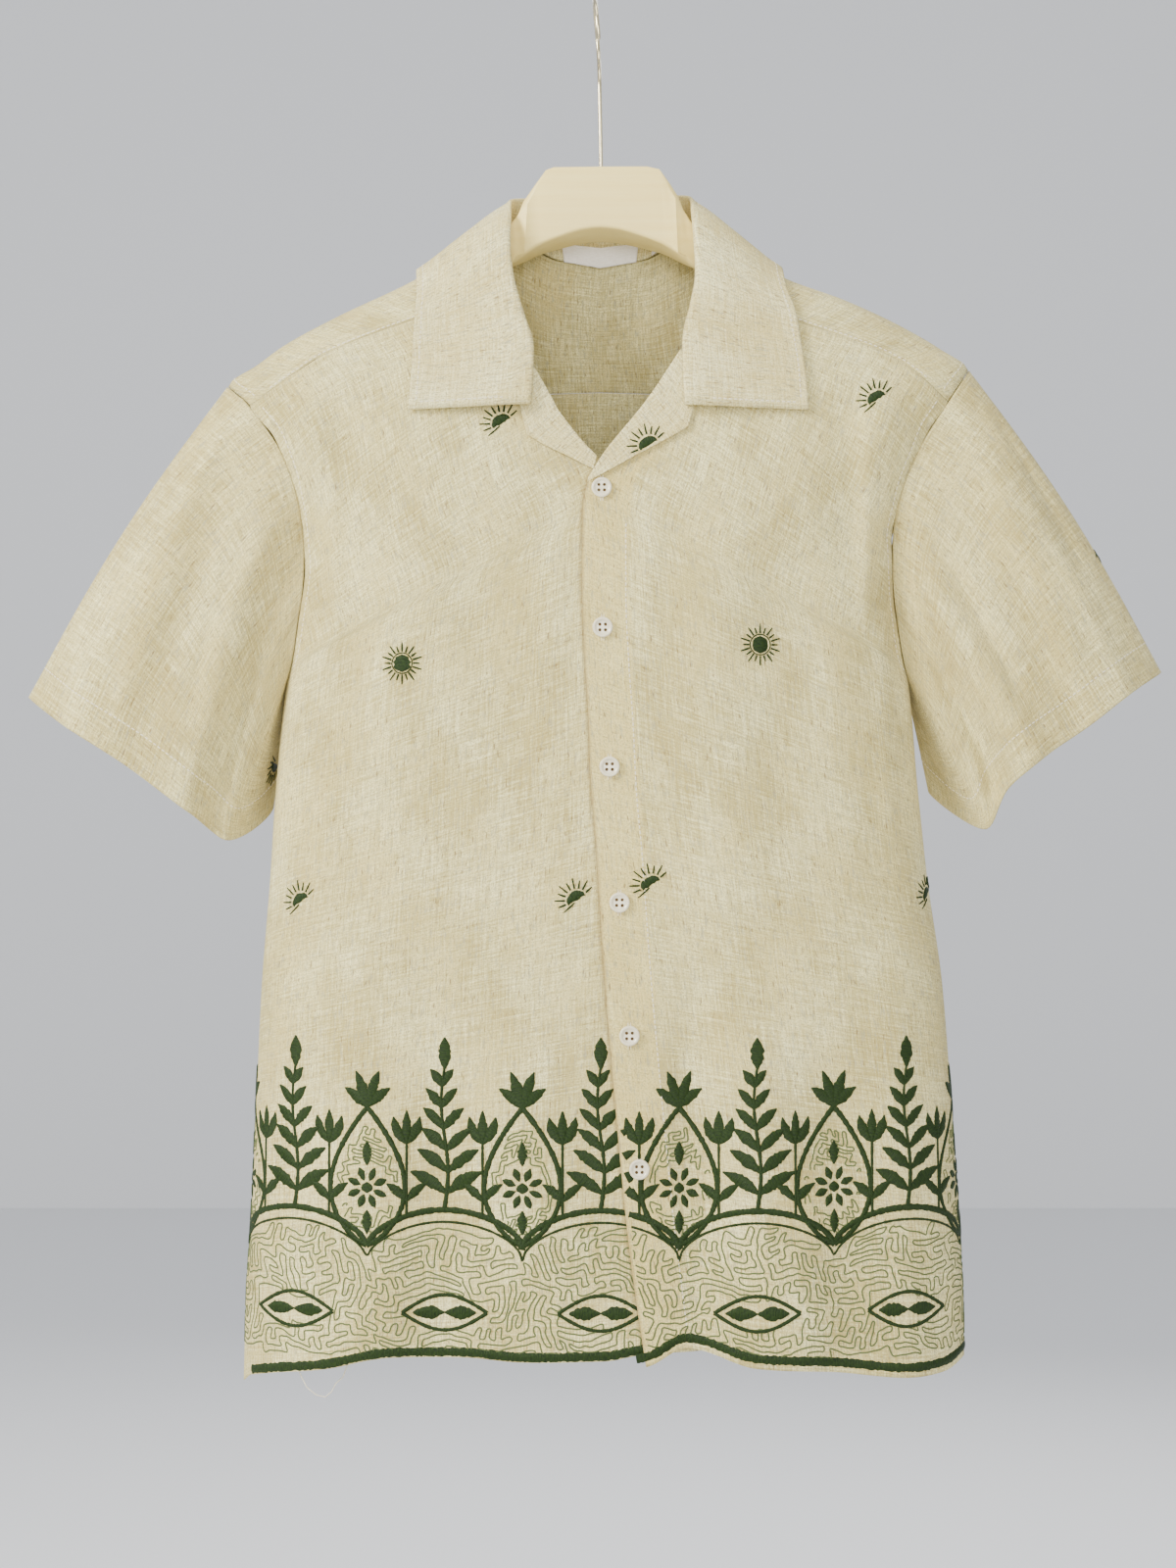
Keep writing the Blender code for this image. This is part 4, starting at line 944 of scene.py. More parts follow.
def inset(at, edge, distance, share):
    """(u, t) of a line that lies a distance in from one edge of a surface: edge is u0, u1, t0 or t1."""
    inward = np.linspace(0, 0.45, 60)
    near = inward if edge[1] == "0" else 1 - inward
    share_grid, near_grid = np.meshgrid(share, near, indexing="ij")
    u, t = (near_grid, share_grid) if edge[0] == "u" else (share_grid, near_grid)
    steps = np.linalg.norm(np.diff(at(u, t), axis=1), axis=-1)
    lengths = np.concatenate([np.zeros((len(share), 1)), np.cumsum(steps, axis=1)], axis=1)
    found = np.array([np.interp(distance, line, near) for line in lengths])
    return (found, share) if edge[0] == "u" else (share, found)


STITCH_LENGTH, STITCH_GAP = 2.5, 0.9
STITCH_HALF_WIDTH = 0.4


def stitches(at, outside, u, t, lift):
    """Running stitches of a machine seam along the line (u, t)."""
    u, t = np.asarray(u, float), np.asarray(t, float)
    places, normals = at(u, t), normals_at(at, u, t, outside)
    length, _ = along_line(places, spacing=5.0)
    made = []
    for start in np.arange(STITCH_GAP, length - STITCH_LENGTH, STITCH_LENGTH + STITCH_GAP):
        ends = start + STITCH_LENGTH * np.array([0, 0.15, 0.5, 0.85, 1])
        _, (middle, up) = along_line(places, normals, ends=ends)
        dip = np.array([-0.25, 0.02, 0.06, 0.02, -0.25])[:, None]
        half = STITCH_HALF_WIDTH * np.array([0.5, 1, 1, 1, 0.5])
        made.append(Ribbon(middle + unit(up) * (lift + dip), unit(up), half))
    return made


# Materials.


def colour(red, green, blue):
    """A colour given from 0 to 255 as a screen shows it."""
    return tuple((c / 255) ** 2.2 for c in (red, green, blue)) + (1.0,)


STRAW_FLECK, GREY_SLUB, BROWN_GRAIN = colour(118, 92, 58), colour(166, 160, 130), colour(166, 148, 94)
WARM_PATCH, DOUBLED_CLOTH = colour(224, 204, 132), colour(230, 206, 124)
# Painted shade: the darker tone laid on the fronts beside and along the edge where they lap.
PAINTED_LAP_SHADE_COLOUR = colour(146, 122, 74)
MIX_FIRST, MIX_SECOND, MIX_RESULT = 6, 7, 2  # the colour sockets of a Mix node


class Paint:
    """A material's nodes: each call adds one, and links what it is given."""

    def __init__(self, name, roughness):
        self.material = bpy.data.materials.new(name)
        self.material.use_nodes = True
        self.tree = self.material.node_tree
        self.shader = self.tree.nodes["Principled BSDF"]
        self.constant("Roughness", roughness)

    def constant(self, socket, value):
        self.shader.inputs[socket].default_value = value

    def node(self, kind, inputs=(), **settings):
        made = self.tree.nodes.new("ShaderNode" + kind)
        for name, value in settings.items():
            setattr(made, name, value)
        for key, value in dict(inputs).items():
            if isinstance(value, bpy.types.NodeSocket):
                self.tree.links.new(value, made.inputs[key])
            else:
                made.inputs[key].default_value = value
        return made

    def place(self, scale, output="UV", crosswise=False):
        """Coordinates in millimetres, stretched by scale, or by the scale the other way round."""
        if crosswise:
            scale = (scale[1], scale[0], scale[2])
        vector = self.node("TexCoord").outputs[output]
        return self.node("Mapping", {"Vector": vector, "Scale": [1000 * s for s in scale]}).outputs["Vector"]

    def noise(self, scale, detail=2.0, rough=0.5, output="UV", crosswise=False):
        vector = self.place(scale, output, crosswise)
        inputs = {"Vector": vector, "Scale": 1.0, "Detail": detail, "Roughness": rough}
        return self.node("TexNoise", inputs).outputs["Fac"]

    def span(self, value, low, high, to_low=0.0, to_high=1.0):
        inputs = {"Value": value, "From Min": low, "From Max": high, "To Min": to_low, "To Max": to_high}
        return self.node("MapRange", inputs, interpolation_type="SMOOTHSTEP").outputs["Result"]

    def maths(self, operation, first, second):
        return self.node("Math", {0: first, 1: second}, operation=operation).outputs["Value"]

    def mix(self, factor, first, second):
        inputs = {"Factor": factor, MIX_FIRST: first, MIX_SECOND: second}
        return self.node("Mix", inputs, data_type="RGBA").outputs[MIX_RESULT]

    def finish(self, base, height, strength, depth):
        """Links the colour, and a relief of this depth in metres."""
        self.tree.links.new(base, self.shader.inputs["Base Color"])
        bump = self.node("Bump", {"Height": height, "Strength": strength, "Distance": depth})
        self.tree.links.new(bump.outputs["Normal"], self.shader.inputs["Normal"])
        return self.material


def linen(name, base, shade, crosswise=False):
    """Slubbed linen: thick and thin threads both ways, dark flecks of straw along the warp, and painted shade
    along the edge where the fronts lap.
    """
    paint = Paint(name, 0.92)

    def woven(along, across, detail=2.0, rough=0.5):
        return paint.noise((along, across, 1), detail, rough, crosswise=crosswise)

    def mark(name):
        return paint.node("Attribute", attribute_name=name).outputs["Fac"]

    warp, weft = woven(0.95, 0.035, 3.0, 0.7), woven(0.04, 0.8, 3.0, 0.7)
    threads = paint.maths("ADD", paint.span(warp, 0.3, 0.7), paint.span(weft, 0.3, 0.7))
    patch = paint.span(woven(0.022, 0.012), 0.3, 0.7, -0.2, 0.26)
    tone = paint.mix(paint.maths("ADD", paint.maths("MULTIPLY", threads, 0.62), patch), base, shade)
    tone = paint.mix(paint.span(woven(0.03, 0.016), 0.4, 0.7, 0.0, 0.45), tone, WARM_PATCH)
    tone = paint.mix(paint.maths("MULTIPLY", mark("doubled"), 0.5), tone, DOUBLED_CLOTH)
    grain = woven(0.9, 0.9, 2.0, 0.8)
    for share, second in (
        (paint.span(woven(0.6, 0.11, 2.0, 0.7), 0.52, 0.7, 0.0, 0.7), GREY_SLUB),
        (paint.span(woven(0.8, 0.15, 1.0), 0.65, 0.72, 0.0, 0.72), STRAW_FLECK),
        (paint.span(woven(0.13, 0.75, 1.0), 0.68, 0.75, 0.0, 0.5), STRAW_FLECK),
        (paint.span(grain, 0.48, 0.66, 0.0, 0.78), BROWN_GRAIN),
        # Painted shade beside the edge where the fronts lap, set by the edge mark.
        (paint.span(mark("edge"), 0.35, 0.95, 0.0, 0.55), PAINTED_LAP_SHADE_COLOUR),
    ):
        tone = paint.mix(share, tone, second)
    height = paint.maths("ADD", threads, paint.span(grain, 0.3, 0.7, 0.0, 0.7))
    paint.constant("Sheen Weight", 0.08)
    paint.constant("Sheen Roughness", 0.5)
    paint.constant("Specular IOR Level", 0.2)
    return paint.finish(tone, height, 0.6, 0.0004)


def thread(name, base, shade, pitch=1.1, roughness=0.55):
    """Satin stitches: fine threads side by side across a ribbon."""
    paint = Paint(name, roughness)
    lay = paint.noise((0.25, 1.0 / pitch * 1.6, 1), 2.0, 0.6)
    fine = paint.noise((0.5, 3.2, 1), 1.0)
    both = paint.maths("ADD", paint.span(lay, 0.3, 0.7), paint.span(fine, 0.3, 0.7, 0.0, 0.5))
    paint.constant("Specular IOR Level", 0.22)
    return paint.finish(paint.mix(paint.maths("MULTIPLY", both, 0.66), shade, base), both, 0.8, 0.0003)


def birch():
    """Pale close-grained wood, its grain bowed along the hanger."""
    paint = Paint("birch_wood", 0.5)
    grain = paint.noise((0.012, 0.4, 0.4), 4.0, 0.6, "Object")
    vector = paint.place((0.004, 0.05, 0.16), "Object")
    inputs = {"Vector": vector, "Scale": 0.22, "Distortion": 3.0, "Detail": 2.0}
    rings = paint.node("TexWave", inputs, wave_type="RINGS", rings_direction="X").outputs["Fac"]
    pores = paint.noise((0.08, 2.2, 2.2), 1.0, 0.5, "Object")
    tone = paint.maths("ADD", paint.span(grain, 0.3, 0.7, 0.0, 0.3), paint.maths("MULTIPLY", rings, 0.2))
    ground = paint.mix(tone, colour(244, 220, 138), colour(232, 202, 112))
    ground = paint.mix(paint.span(pores, 0.66, 0.8, 0.0, 0.2), ground, colour(196, 166, 116))
    return paint.finish(ground, pores, 0.12, 0.0002)


def brass():
    paint = Paint("pale_brass_wire", 0.22)
    paint.constant("Metallic", 1.0)
    worn = paint.noise((0.2, 0.2, 0.05), 3.0, 0.6, "Object")
    return paint.finish(paint.mix(worn, colour(206, 190, 146), colour(236, 222, 184)), worn, 0.05, 0.0001)


def horn():
    """Off-white buttons with a faint pearl in them."""
    paint = Paint("off_white_button", 0.28)
    cloudy = paint.noise((0.25, 0.25, 0.6), 3.0, 0.6, "Object")
    paint.constant("Subsurface Weight", 0.15)
    paint.constant("Subsurface Radius", (0.003, 0.002, 0.0015))
    paint.constant("Coat Weight", 0.3)
    return paint.finish(paint.mix(cloudy, colour(208, 197, 162), colour(232, 221, 188)), cloudy, 0.05, 0.0001)


BODY_LINEN = linen("body_linen", colour(255, 246, 180), colour(184, 166, 102))
COLLAR_LINEN = linen("collar_linen", colour(255, 248, 188), colour(208, 188, 122), crosswise=True)
SLEEVE_LINEN = linen("sleeve_linen", colour(255, 244, 176), colour(182, 163, 100))
LABEL_TAPE = thread("label_tape", colour(250, 245, 232), colour(236, 228, 210), 1.4, 0.8)
SEWING_THREAD = thread("cream_sewing_thread", colour(250, 242, 212), colour(220, 206, 168), 0.9, 0.7)
GREEN_SATIN = thread("dark_green_satin", colour(42, 60, 14), colour(18, 32, 8))
OLIVE_THREAD = thread("olive_thread", colour(110, 118, 76), colour(72, 84, 46), 0.8, 0.7)
# Dark brown thread, which paints the shade inside the buttons' holes.
DARK_HOLE_SHADE_THREAD = thread("dark_thread_for_hole_shade", colour(126, 104, 74), colour(84, 66, 44), 0.8, 0.8)


# Cloth pieces. A surface is turned so that outside times its normal points away from the body.

FRONT_SURFACE = {side: front_at(side) for side in (LEFT, RIGHT)}
BACK_SURFACE = back_at()
SLEEVE_SURFACE = {side: sleeve_at(side) for side in (LEFT, RIGHT)}
HEM_START = ARMHOLE_ROWS / PANEL_LAST
ON_CLOTH = LINEN_WALL / 2
ON_COLLAR = COLLAR_WALL / 2

# How wide the painted shade beside the lapped edge is, and how far in from their edges the stitches run.
PAINTED_LAP_SHADE_WIDTH = {LEFT: 4.5, RIGHT: 3.0}
ARMHOLE_STITCH = 7.0
FACING_WIDTH = 30.0
SHOULDER_STITCH = 1.6
SLEEVE_HEM = 22.0
COLLAR_STITCH = 4.7
ARMHOLE_SEAM = 0.01, HEM_START - 0.02  # the shares of a panel's side between which it is sewn to the sleeve
SEWING_RISE = 0.32
LOOSE_THREAD_HALF_WIDTH = 0.3


def sewing(name, strands, material=SEWING_THREAD):
    return ribbons(name, strands, SEWING_RISE, 2, material, "linen")


def seam_line(at, outside, edge, distance, start, end, lift=ON_CLOTH):
    return stitches(at, outside, *inset(at, edge, distance, np.linspace(start, end, 160)), lift)


def lap_distance(places):
    """How far a place lies to the right of the edge of the right front, in millimetres."""
    return places[..., 0] - read(INNER_EDGE[RIGHT], "x", places[..., 2])


def front_marks(side):
    """Where the front is doubled, and how near it is to the edge where the fronts lap, which sets the painted
    shade along that edge.
    """
    facing = FACING_WIDTH if side == RIGHT else -math.inf
    return {
        "doubled": lambda places: (lap_distance(places) < facing).astype(float),
        "edge": lambda places: 1 - side * lap_distance(places) / PAINTED_LAP_SHADE_WIDTH[side],
    }


def loose_thread():
    """A loop of thread that hangs from the left front's hem."""
    route = (
        (-194, -44, -869), (-190, -46, -878), (-186, -47, -886), (-180, -47, -891), (-174, -47, -892.5),
        (-170, -47, -889), (-167.5, -47, -884), (-163, -46.5, -880), (-160, -45, -872),
    )
    places = np.array(route, float)
    out = np.tile([0.0, -1.0, 0.0], (len(route), 1))
    return Ribbon(places, out, np.full(len(route), LOOSE_THREAD_HALF_WIDTH))


def make_fronts():
    made = {}
    for side, word in SIDES:
        at = FRONT_SURFACE[side]
        name, marks = f"front_{word}", front_marks(side)
        piece = cloth(f"linen_{name}", at, 120, 200, BODY_LINEN, "linen", replaced=(name,), marks=marks)
        strands = seam_line(at, -side, "u1", ARMHOLE_STITCH, *ARMHOLE_SEAM)
        if side == LEFT:
            strands.append(loose_thread())
        else:
            strands += seam_line(at, -side, "u0", FACING_WIDTH, HEM_START - 0.02, 0.985)
            strands += buttonholes()
        made[side] = piece, [sewing(f"sewing_{name}", strands)]
    return made


def make_back():
    strands = []
    for edge in ("u0", "u1"):
        strands += seam_line(BACK_SURFACE, 1, edge, ARMHOLE_STITCH, *ARMHOLE_SEAM)
    piece = cloth("linen_back", BACK_SURFACE, 150, 150, BODY_LINEN, "linen", replaced=("back",))
    return piece, [sewing("sewing_back", strands)]


def make_yoke():
    strands = []
    for start, end in ((0.02, 0.24), (0.76, 0.98)):
        strands += seam_line(yoke_at, 1, "t0", SHOULDER_STITCH, start, end)
    strands += seam_line(yoke_at, 1, "t1", SHOULDER_STITCH, 0.01, 0.99)
    for edge in ("u0", "u1"):
        strands += seam_line(yoke_at, 1, edge, ARMHOLE_STITCH, 0.03, 0.97)
    piece = cloth("linen_yoke", yoke_at, 170, 44, BODY_LINEN, "linen", replaced=("yoke",))
    return piece, [sewing("sewing_yoke", strands)]


def make_sleeves():
    made = {}
    for side, word in SIDES:
        at, name = SLEEVE_SURFACE[side], f"sleeve_{word}"
        piece = cloth(f"linen_{name}", at, 180, 76, SLEEVE_LINEN, "linen", closed=True, replaced=(name,))
        strands = seam_line(at, side, "t1", SLEEVE_HEM, 0.0, 1.0)
        made[side] = piece, [sewing(f"sewing_{name}", strands)]
    return made


def make_collar():
    finish = COLLAR_LINEN, "collar_linen", COLLAR_WALL
    piece = cloth("linen_collar", collar_at, 44, 170, *finish, replaced=("collar",), crowd=0.2)
    strands = seam_line(collar_at, -1, "u1", COLLAR_STITCH, 0.006, 0.994, ON_COLLAR)
    for edge in ("t0", "t1"):
        strands += seam_line(collar_at, -1, edge, COLLAR_STITCH, 0.5, 0.95, ON_COLLAR)
    return piece, [sewing("sewing_collar", strands)]


def make_lapels():
    made = {}
    for side, word in SIDES:
        name = f"lapel_{word}"
        piece = cloth(f"linen_{name}", lapel_at(side), 26, 48, COLLAR_LINEN, "collar_linen", replaced=(name,))
        made[side] = piece, []
    return made


# Each label's middle, half width, foot and top on the collar's stand, then its cut in metres.
LABELS = {
    "neck_label": ((0.0, 0.142, -0.03, 0.28), (0.052, 0.0140, 0.00065)),
    "size_label": ((0.235, 0.032, -0.02, 0.24), (0.0115, 0.0112, 0.00012)),
}
LABEL_WALL = 0.6


def make_labels():
    for name, ((middle, half, low, high), (width, length, area)) in LABELS.items():
        at = label_at(middle, half, RIGHT, low, high)
        piece = cloth(f"woven_{name}", at, 24, 8, LABEL_TAPE, "label", LABEL_WALL, replaced=(name,))


# Buttons, their holes in the cloth and the thread that holds them.

BUTTON_SECTION = (
    (0, 1.5), (3.6, 1.5), (4.2, 1.62), (4.7, 2.1), (5.2, 2.36), (5.8, 2.36), (6.3, 2.0), (6.45, 1.5),
    (6.3, 0.8), (5.7, 0.25), (4.8, 0), (0, 0),
)
BUTTON_HOLE_RADIUS, BUTTON_HOLE_OUT = 1.05, 1.75
BUTTON_SEAT = 1.0
BUTTON_RADIUS = 6.5
BUTTONHOLE_HALF = 8.6
BUTTONHOLE_BARS = -0.75, 0.75
SHANK_BARS = -1.0, 0.0, 1.0
BAR_ARCH = np.array([-0.3, 0.1, 0.2, 0.1, -0.3])
DRILL_LENGTH = 8.0


def at_button(number):
    """The middle of a button's back, and the directions across, up and out of the cloth there."""
    x, height = (float(read(BUTTONS, column, number)) for column in ("x", "height"))

    def near(dx, dz):
        return on_body(np.array(x + dx), np.array(height + dz), FRONT)

    across = near(BUTTON_RADIUS, 0) - near(-BUTTON_RADIUS, 0)
    upward = near(0, BUTTON_RADIUS) - near(0, -BUTTON_RADIUS)
    return near(0, 0), unit(across), unit(upward), unit(np.cross(across, upward))


def bars(middle, across, upward, out, rows, lift):
    """Straight bars of thread near a button: rows of (x, low, high, half width)."""
    made = []
    for x, low, high, half in rows:
        share = np.linspace(0, 1, 5)[:, None]
        places = middle + across * x + upward * (low + (high - low) * share)
        places = places + out * (lift + BAR_ARCH[:, None])
        made.append(Ribbon(places, np.tile(out, (5, 1)), np.full(5, half)))
    return made


def buttonholes():
    strands = []
    for number in range(1, 7):
        rows = [(x, -BUTTONHOLE_HALF, BUTTONHOLE_HALF, 0.62) for x in BUTTONHOLE_BARS]
        strands += bars(*at_button(number), rows, ON_CLOTH)
    return strands


def button_blank():
    """One button at the origin, its face up, with four holes cut through it."""
    shape = bmesh.new()
    corners = [shape.verts.new((radius * MM, 0, rise * MM)) for radius, rise in BUTTON_SECTION]
    edges = [shape.edges.new(pair) for pair in zip(corners, corners[1:])]
    turned = corners + edges
    bmesh.ops.spin(
        shape, geom=turned, axis=(0, 0, 1), cent=(0, 0, 0), steps=48, angle=math.tau, use_merge=True
    )
    bmesh.ops.remove_doubles(shape, verts=shape.verts[:], dist=1e-6)
    bmesh.ops.recalc_face_normals(shape, faces=shape.faces[:])
    drill = bmesh.new()
    radius = BUTTON_HOLE_RADIUS * MM
    size = {"radius1": radius, "radius2": radius, "depth": DRILL_LENGTH * MM}
    for x in (-1, 1):
        for y in (-1, 1):
            made = bmesh.ops.create_cone(drill, cap_ends=True, segments=16, **size)
            bmesh.ops.translate(drill, verts=made["verts"], vec=Vector((x, y, 0)) * BUTTON_HOLE_OUT * MM)
    blank, holes = mesh_of("button_blank", shape), mesh_of("button_drill", drill)
    solid, cutter = (bpy.data.objects.new(mesh.name, mesh) for mesh in (blank, holes))
    for helper in (solid, cutter):
        bpy.context.scene.collection.objects.link(helper)
    cut = solid.modifiers.new("holes", "BOOLEAN")
    cut.operation, cut.solver, cut.object = "DIFFERENCE", "EXACT", cutter
    graph = bpy.context.evaluated_depsgraph_get()
    drilled = bpy.data.meshes.new_from_object(solid.evaluated_get(graph))
    for helper in (solid, cutter):
        bpy.data.objects.remove(helper)
    return drilled


def make_buttons():
    blank, material = button_blank(), horn()
    outs = (-BUTTON_HOLE_OUT, BUTTON_HOLE_OUT)
    hole_places = [(x, z) for x in outs for z in outs]
    hole_shade_bars = [(x, z - 0.9, z + 0.9, 0.9) for x, z in hole_places]
    shank = [(x, -1.0, 1.0, 0.6) for x in SHANK_BARS]
    strands, holes = [], []
    for number in range(1, 7):
        middle, across, upward, out = at_button(number)
        turn = Vector(out).to_track_quat("Z", "Y").to_matrix().to_4x4()
        turn.translation = Vector((middle + out * BUTTON_SEAT) * MM)
        mesh = blank.copy()
        mesh.transform(turn)
        mesh.materials.clear()
        mesh.shade_smooth()
        piece = keep_piece(f"sewn_button_{number}", mesh, material, "button", (f"button_{number}",))
        piece.data.set_sharp_from_angle(angle=SHARP_ANGLE)
        holes += bars(middle, across, upward, out, hole_shade_bars, BUTTON_SEAT + 0.3)
        strands += bars(middle, across, upward, out, shank, BUTTON_SEAT - 0.15)
    sewing("button_shanks", strands)
    # The thread in the holes is dark brown: it paints the shade inside the button holes.
    sewing("threads_in_holes", holes, DARK_HOLE_SHADE_THREAD)


# The embroidery, drawn as strokes: points (distance along the cloth, height), and half widths.

THREAD_LIFT = 0.05
BORDER_RISE, STIPPLE_RISE = 0.75, 0.4


def line(places, half_width):
    places = np.asarray(places, float)
    return places, np.full(len(places), half_width)


def leaf(along, height, angle, length, width, bend=0.0):
    share = np.linspace(0, 1, 10)
    way = np.array([math.cos(angle), math.sin(angle)])
    aside = np.array([-way[1], way[0]])
    curve = share[:, None] * way + (bend * share * (1 - share))[:, None] * aside
    half = width / 2 * np.maximum(np.sin(math.pi * share) ** 0.8, 0.12)
    return np.array([along, height]) + length * curve, half


def leaves(along, height, tilt, length, width, bend=0.0):
    """Two leaves that lean out to both sides, tilted in degrees from upright."""
    lean = math.radians(tilt)
    return [
        leaf(along, height, math.pi / 2 - side * lean, length, width, side * bend) for side in (LEFT, RIGHT)
    ]


def disc(along, height, radius):
    level = radius * np.cos(np.linspace(math.pi, 0, 9))
    places = np.stack([np.full(9, along), height + level], axis=1)
    return places, np.maximum(np.sqrt(np.maximum(radius**2 - level**2, 0)), 0.25)


SUN_DISC, SUN_RING, SUN_RAYS, RAY_START, RAY_END = 5.5, 6.5, 20, 7.2, 13.2
SHORT_RAY = 0.84
RAY_HALF_WIDTHS = np.array([0.62, 0.6, 0.38])
HALF_SUN_TILT = math.radians(32)
HALF_SUN_DISC, HALF_SUN_RAYS = 6.0, 9
HALF_RAY_START, HALF_RAY_MIDDLE, HALF_RAY_ENDS = 7.4, 10.0, (12.6, 14.2)


def ragged(strokes, draw, step=1.3, uneven=0.16):
    """Satin stitches end a little unevenly along both edges of a stroke."""
    made = []
    for places, half_widths in strokes:
        length, _ = along_line(places, spacing=step)
        count = max(4, int(length / step))
        ends = np.linspace(0, length, count)
        _, (middle, half) = along_line(places, half_widths[:, None], ends=ends)
        factor = np.array([1 + draw.uniform(-uneven, uneven) for _ in range(count)])
        made.append((middle, half[:, 0] * factor))
    return made


def full_sun(along, height):
    strokes = [disc(along, height, SUN_DISC)]
    for ray in range(SUN_RAYS):
        angle = math.tau * ray / SUN_RAYS
        end = RAY_END * (1.0 if ray % 2 else SHORT_RAY)
        reach = (RAY_START, (RAY_START + end) / 2, end)
        places = [(along + r * math.cos(angle), height + r * math.sin(angle)) for r in reach]
        strokes.append((np.array(places), RAY_HALF_WIDTHS))
    turn = np.linspace(0, math.tau, 25)
    ring = np.stack([along + SUN_RING * np.cos(turn), height + SUN_RING * np.sin(turn)], axis=1)
    return strokes + [line(ring, 0.4)]


def half_sun(along, height, tilt=HALF_SUN_TILT):
    way = np.array([math.cos(tilt), math.sin(tilt)])
    up = np.array([-way[1], way[0]])
    middle = np.array([along, height])
    level = HALF_SUN_DISC * np.cos(np.linspace(math.pi, 0, 9))
    half_over = np.sqrt(np.maximum(HALF_SUN_DISC**2 - level**2, 0)) / 2
    strokes = [(middle + level[:, None] * way + half_over[:, None] * up, np.maximum(half_over, 0.2))]
    for ray in range(HALF_SUN_RAYS):
        angle = tilt + math.pi * (ray + 0.5) / HALF_SUN_RAYS
        way_out = np.array([math.cos(angle), math.sin(angle)])
        reach = np.array([HALF_RAY_START, HALF_RAY_MIDDLE, HALF_RAY_ENDS[ray % 2]])
        strokes.append((middle + reach[:, None] * way_out, RAY_HALF_WIDTHS))
    ground = middle + np.array([-11.5, -7.0, -2.0])[:, None] * way
    ground = ground + np.array([-2.2, -1.6, -0.6])[:, None] * up
    return strokes + [(ground, np.array([0.3, 0.6, 0.5]))]


REPEAT = 98.0
SCALLOP_LEVEL, SCALLOP_RISE = -796.0, 24.0
BORDER_TOP = -662.0
SPRIG_PAIRS, SPRIG_SWAY, SPRIG_TOP_LEAF = 6, 2.2, 20


def scallop(along):
    """Height of the scalloped line that closes the stippled band."""
    return SCALLOP_LEVEL + SCALLOP_RISE * np.sqrt(np.abs(np.cos(math.pi * np.asarray(along) / REPEAT)))


def tall_sprig(along):
    """A swaying stem with pairs of leaves that grow smaller upwards."""
    foot = float(scallop(along)) + 1
    stem_top = BORDER_TOP - SPRIG_TOP_LEAF
    share = np.linspace(0, 1, 24)
    stem = np.stack([along + SPRIG_SWAY * np.sin(share * math.tau), foot + (stem_top - foot) * share], axis=1)
    strokes = [(stem, 1.5 - 0.7 * share)]
    for pair in range(SPRIG_PAIRS):
        level = 0.1 + 0.15 * pair
        x = along + SPRIG_SWAY * math.sin(level * math.tau)
        height = foot + (stem_top - foot) * level
        strokes += leaves(x, height, 58 - 5 * pair, 27 - 2.7 * pair, 8.2 - 0.5 * pair, 0.22)
    return strokes + [leaf(along, stem_top - 2, math.pi / 2, SPRIG_TOP_LEAF, 8.5)]


def rosette(along, height, radius, petals):
    """A disc with petals round it."""
    strokes = [disc(along, height, radius * 0.26)]
    out = radius * 0.34
    for petal in range(petals):
        angle = math.tau * (petal + 0.5) / petals
        x, z = along + out * math.cos(angle), height + out * math.sin(angle)
        strokes.append(leaf(x, z, angle, radius - out, radius * 0.36))
    return strokes


OGEE_WIDTH, OGEE_HEIGHT = 48.0, 86.0
FLOWER_LEVEL = OGEE_HEIGHT * 0.42
ROSETTE_RADIUS, ROSETTE_PETALS = 13.5, 8


def ogee_half(share):
    """Half the width of the upright pointed oval, at a share of its height."""
    return OGEE_WIDTH / 2 * np.sin(math.pi * share**0.8) ** 0.9


def ogee_panel(along):
    """A pointed oval with a rosette in it and four leaves on its tip."""
    foot = float(scallop(along)) + 2
    share = np.linspace(0, 1, 26)
    strokes = [
        line(np.stack([along + side * ogee_half(share), foot + OGEE_HEIGHT * share], axis=1), 1.7)
        for side in (RIGHT, LEFT)
    ]
    middle = foot + FLOWER_LEVEL
    strokes += rosette(along, middle, ROSETTE_RADIUS, ROSETTE_PETALS)
    strokes += [leaf(along, middle + way * 14, way * math.pi / 2, 15, 6.5) for way in (1, -1)]
    top = foot + OGEE_HEIGHT
    return strokes + leaves(along, top, 50, 19, 7, 0.2) + leaves(along, top, 18, 24, 7, 0.1)


def small_tulip(along):
    """A short stem with a pair of leaves low down and three petals on top."""
    foot = float(scallop(along)) + 1
    strokes = [line([(along, foot), (along, foot + 22), (along, foot + 46)], 0.9)]
    low, petals = leaves(along, foot + 8, 48, 17, 6, 0.25), leaves(along, foot + 44, 26, 19, 6.5, -0.35)
    for pair in zip(low, petals):
        strokes += pair
    return strokes + [leaf(along, foot + 44, math.pi / 2, 21, 6)]


# The pointed ovals in the stippled band, lying along it.
EYE_LEVEL, EYE_LENGTH, EYE_HEIGHT = -836.0, 54.0, 22.0
TULIP_PLACE = 0.245
LOWER_LINE = 7.5


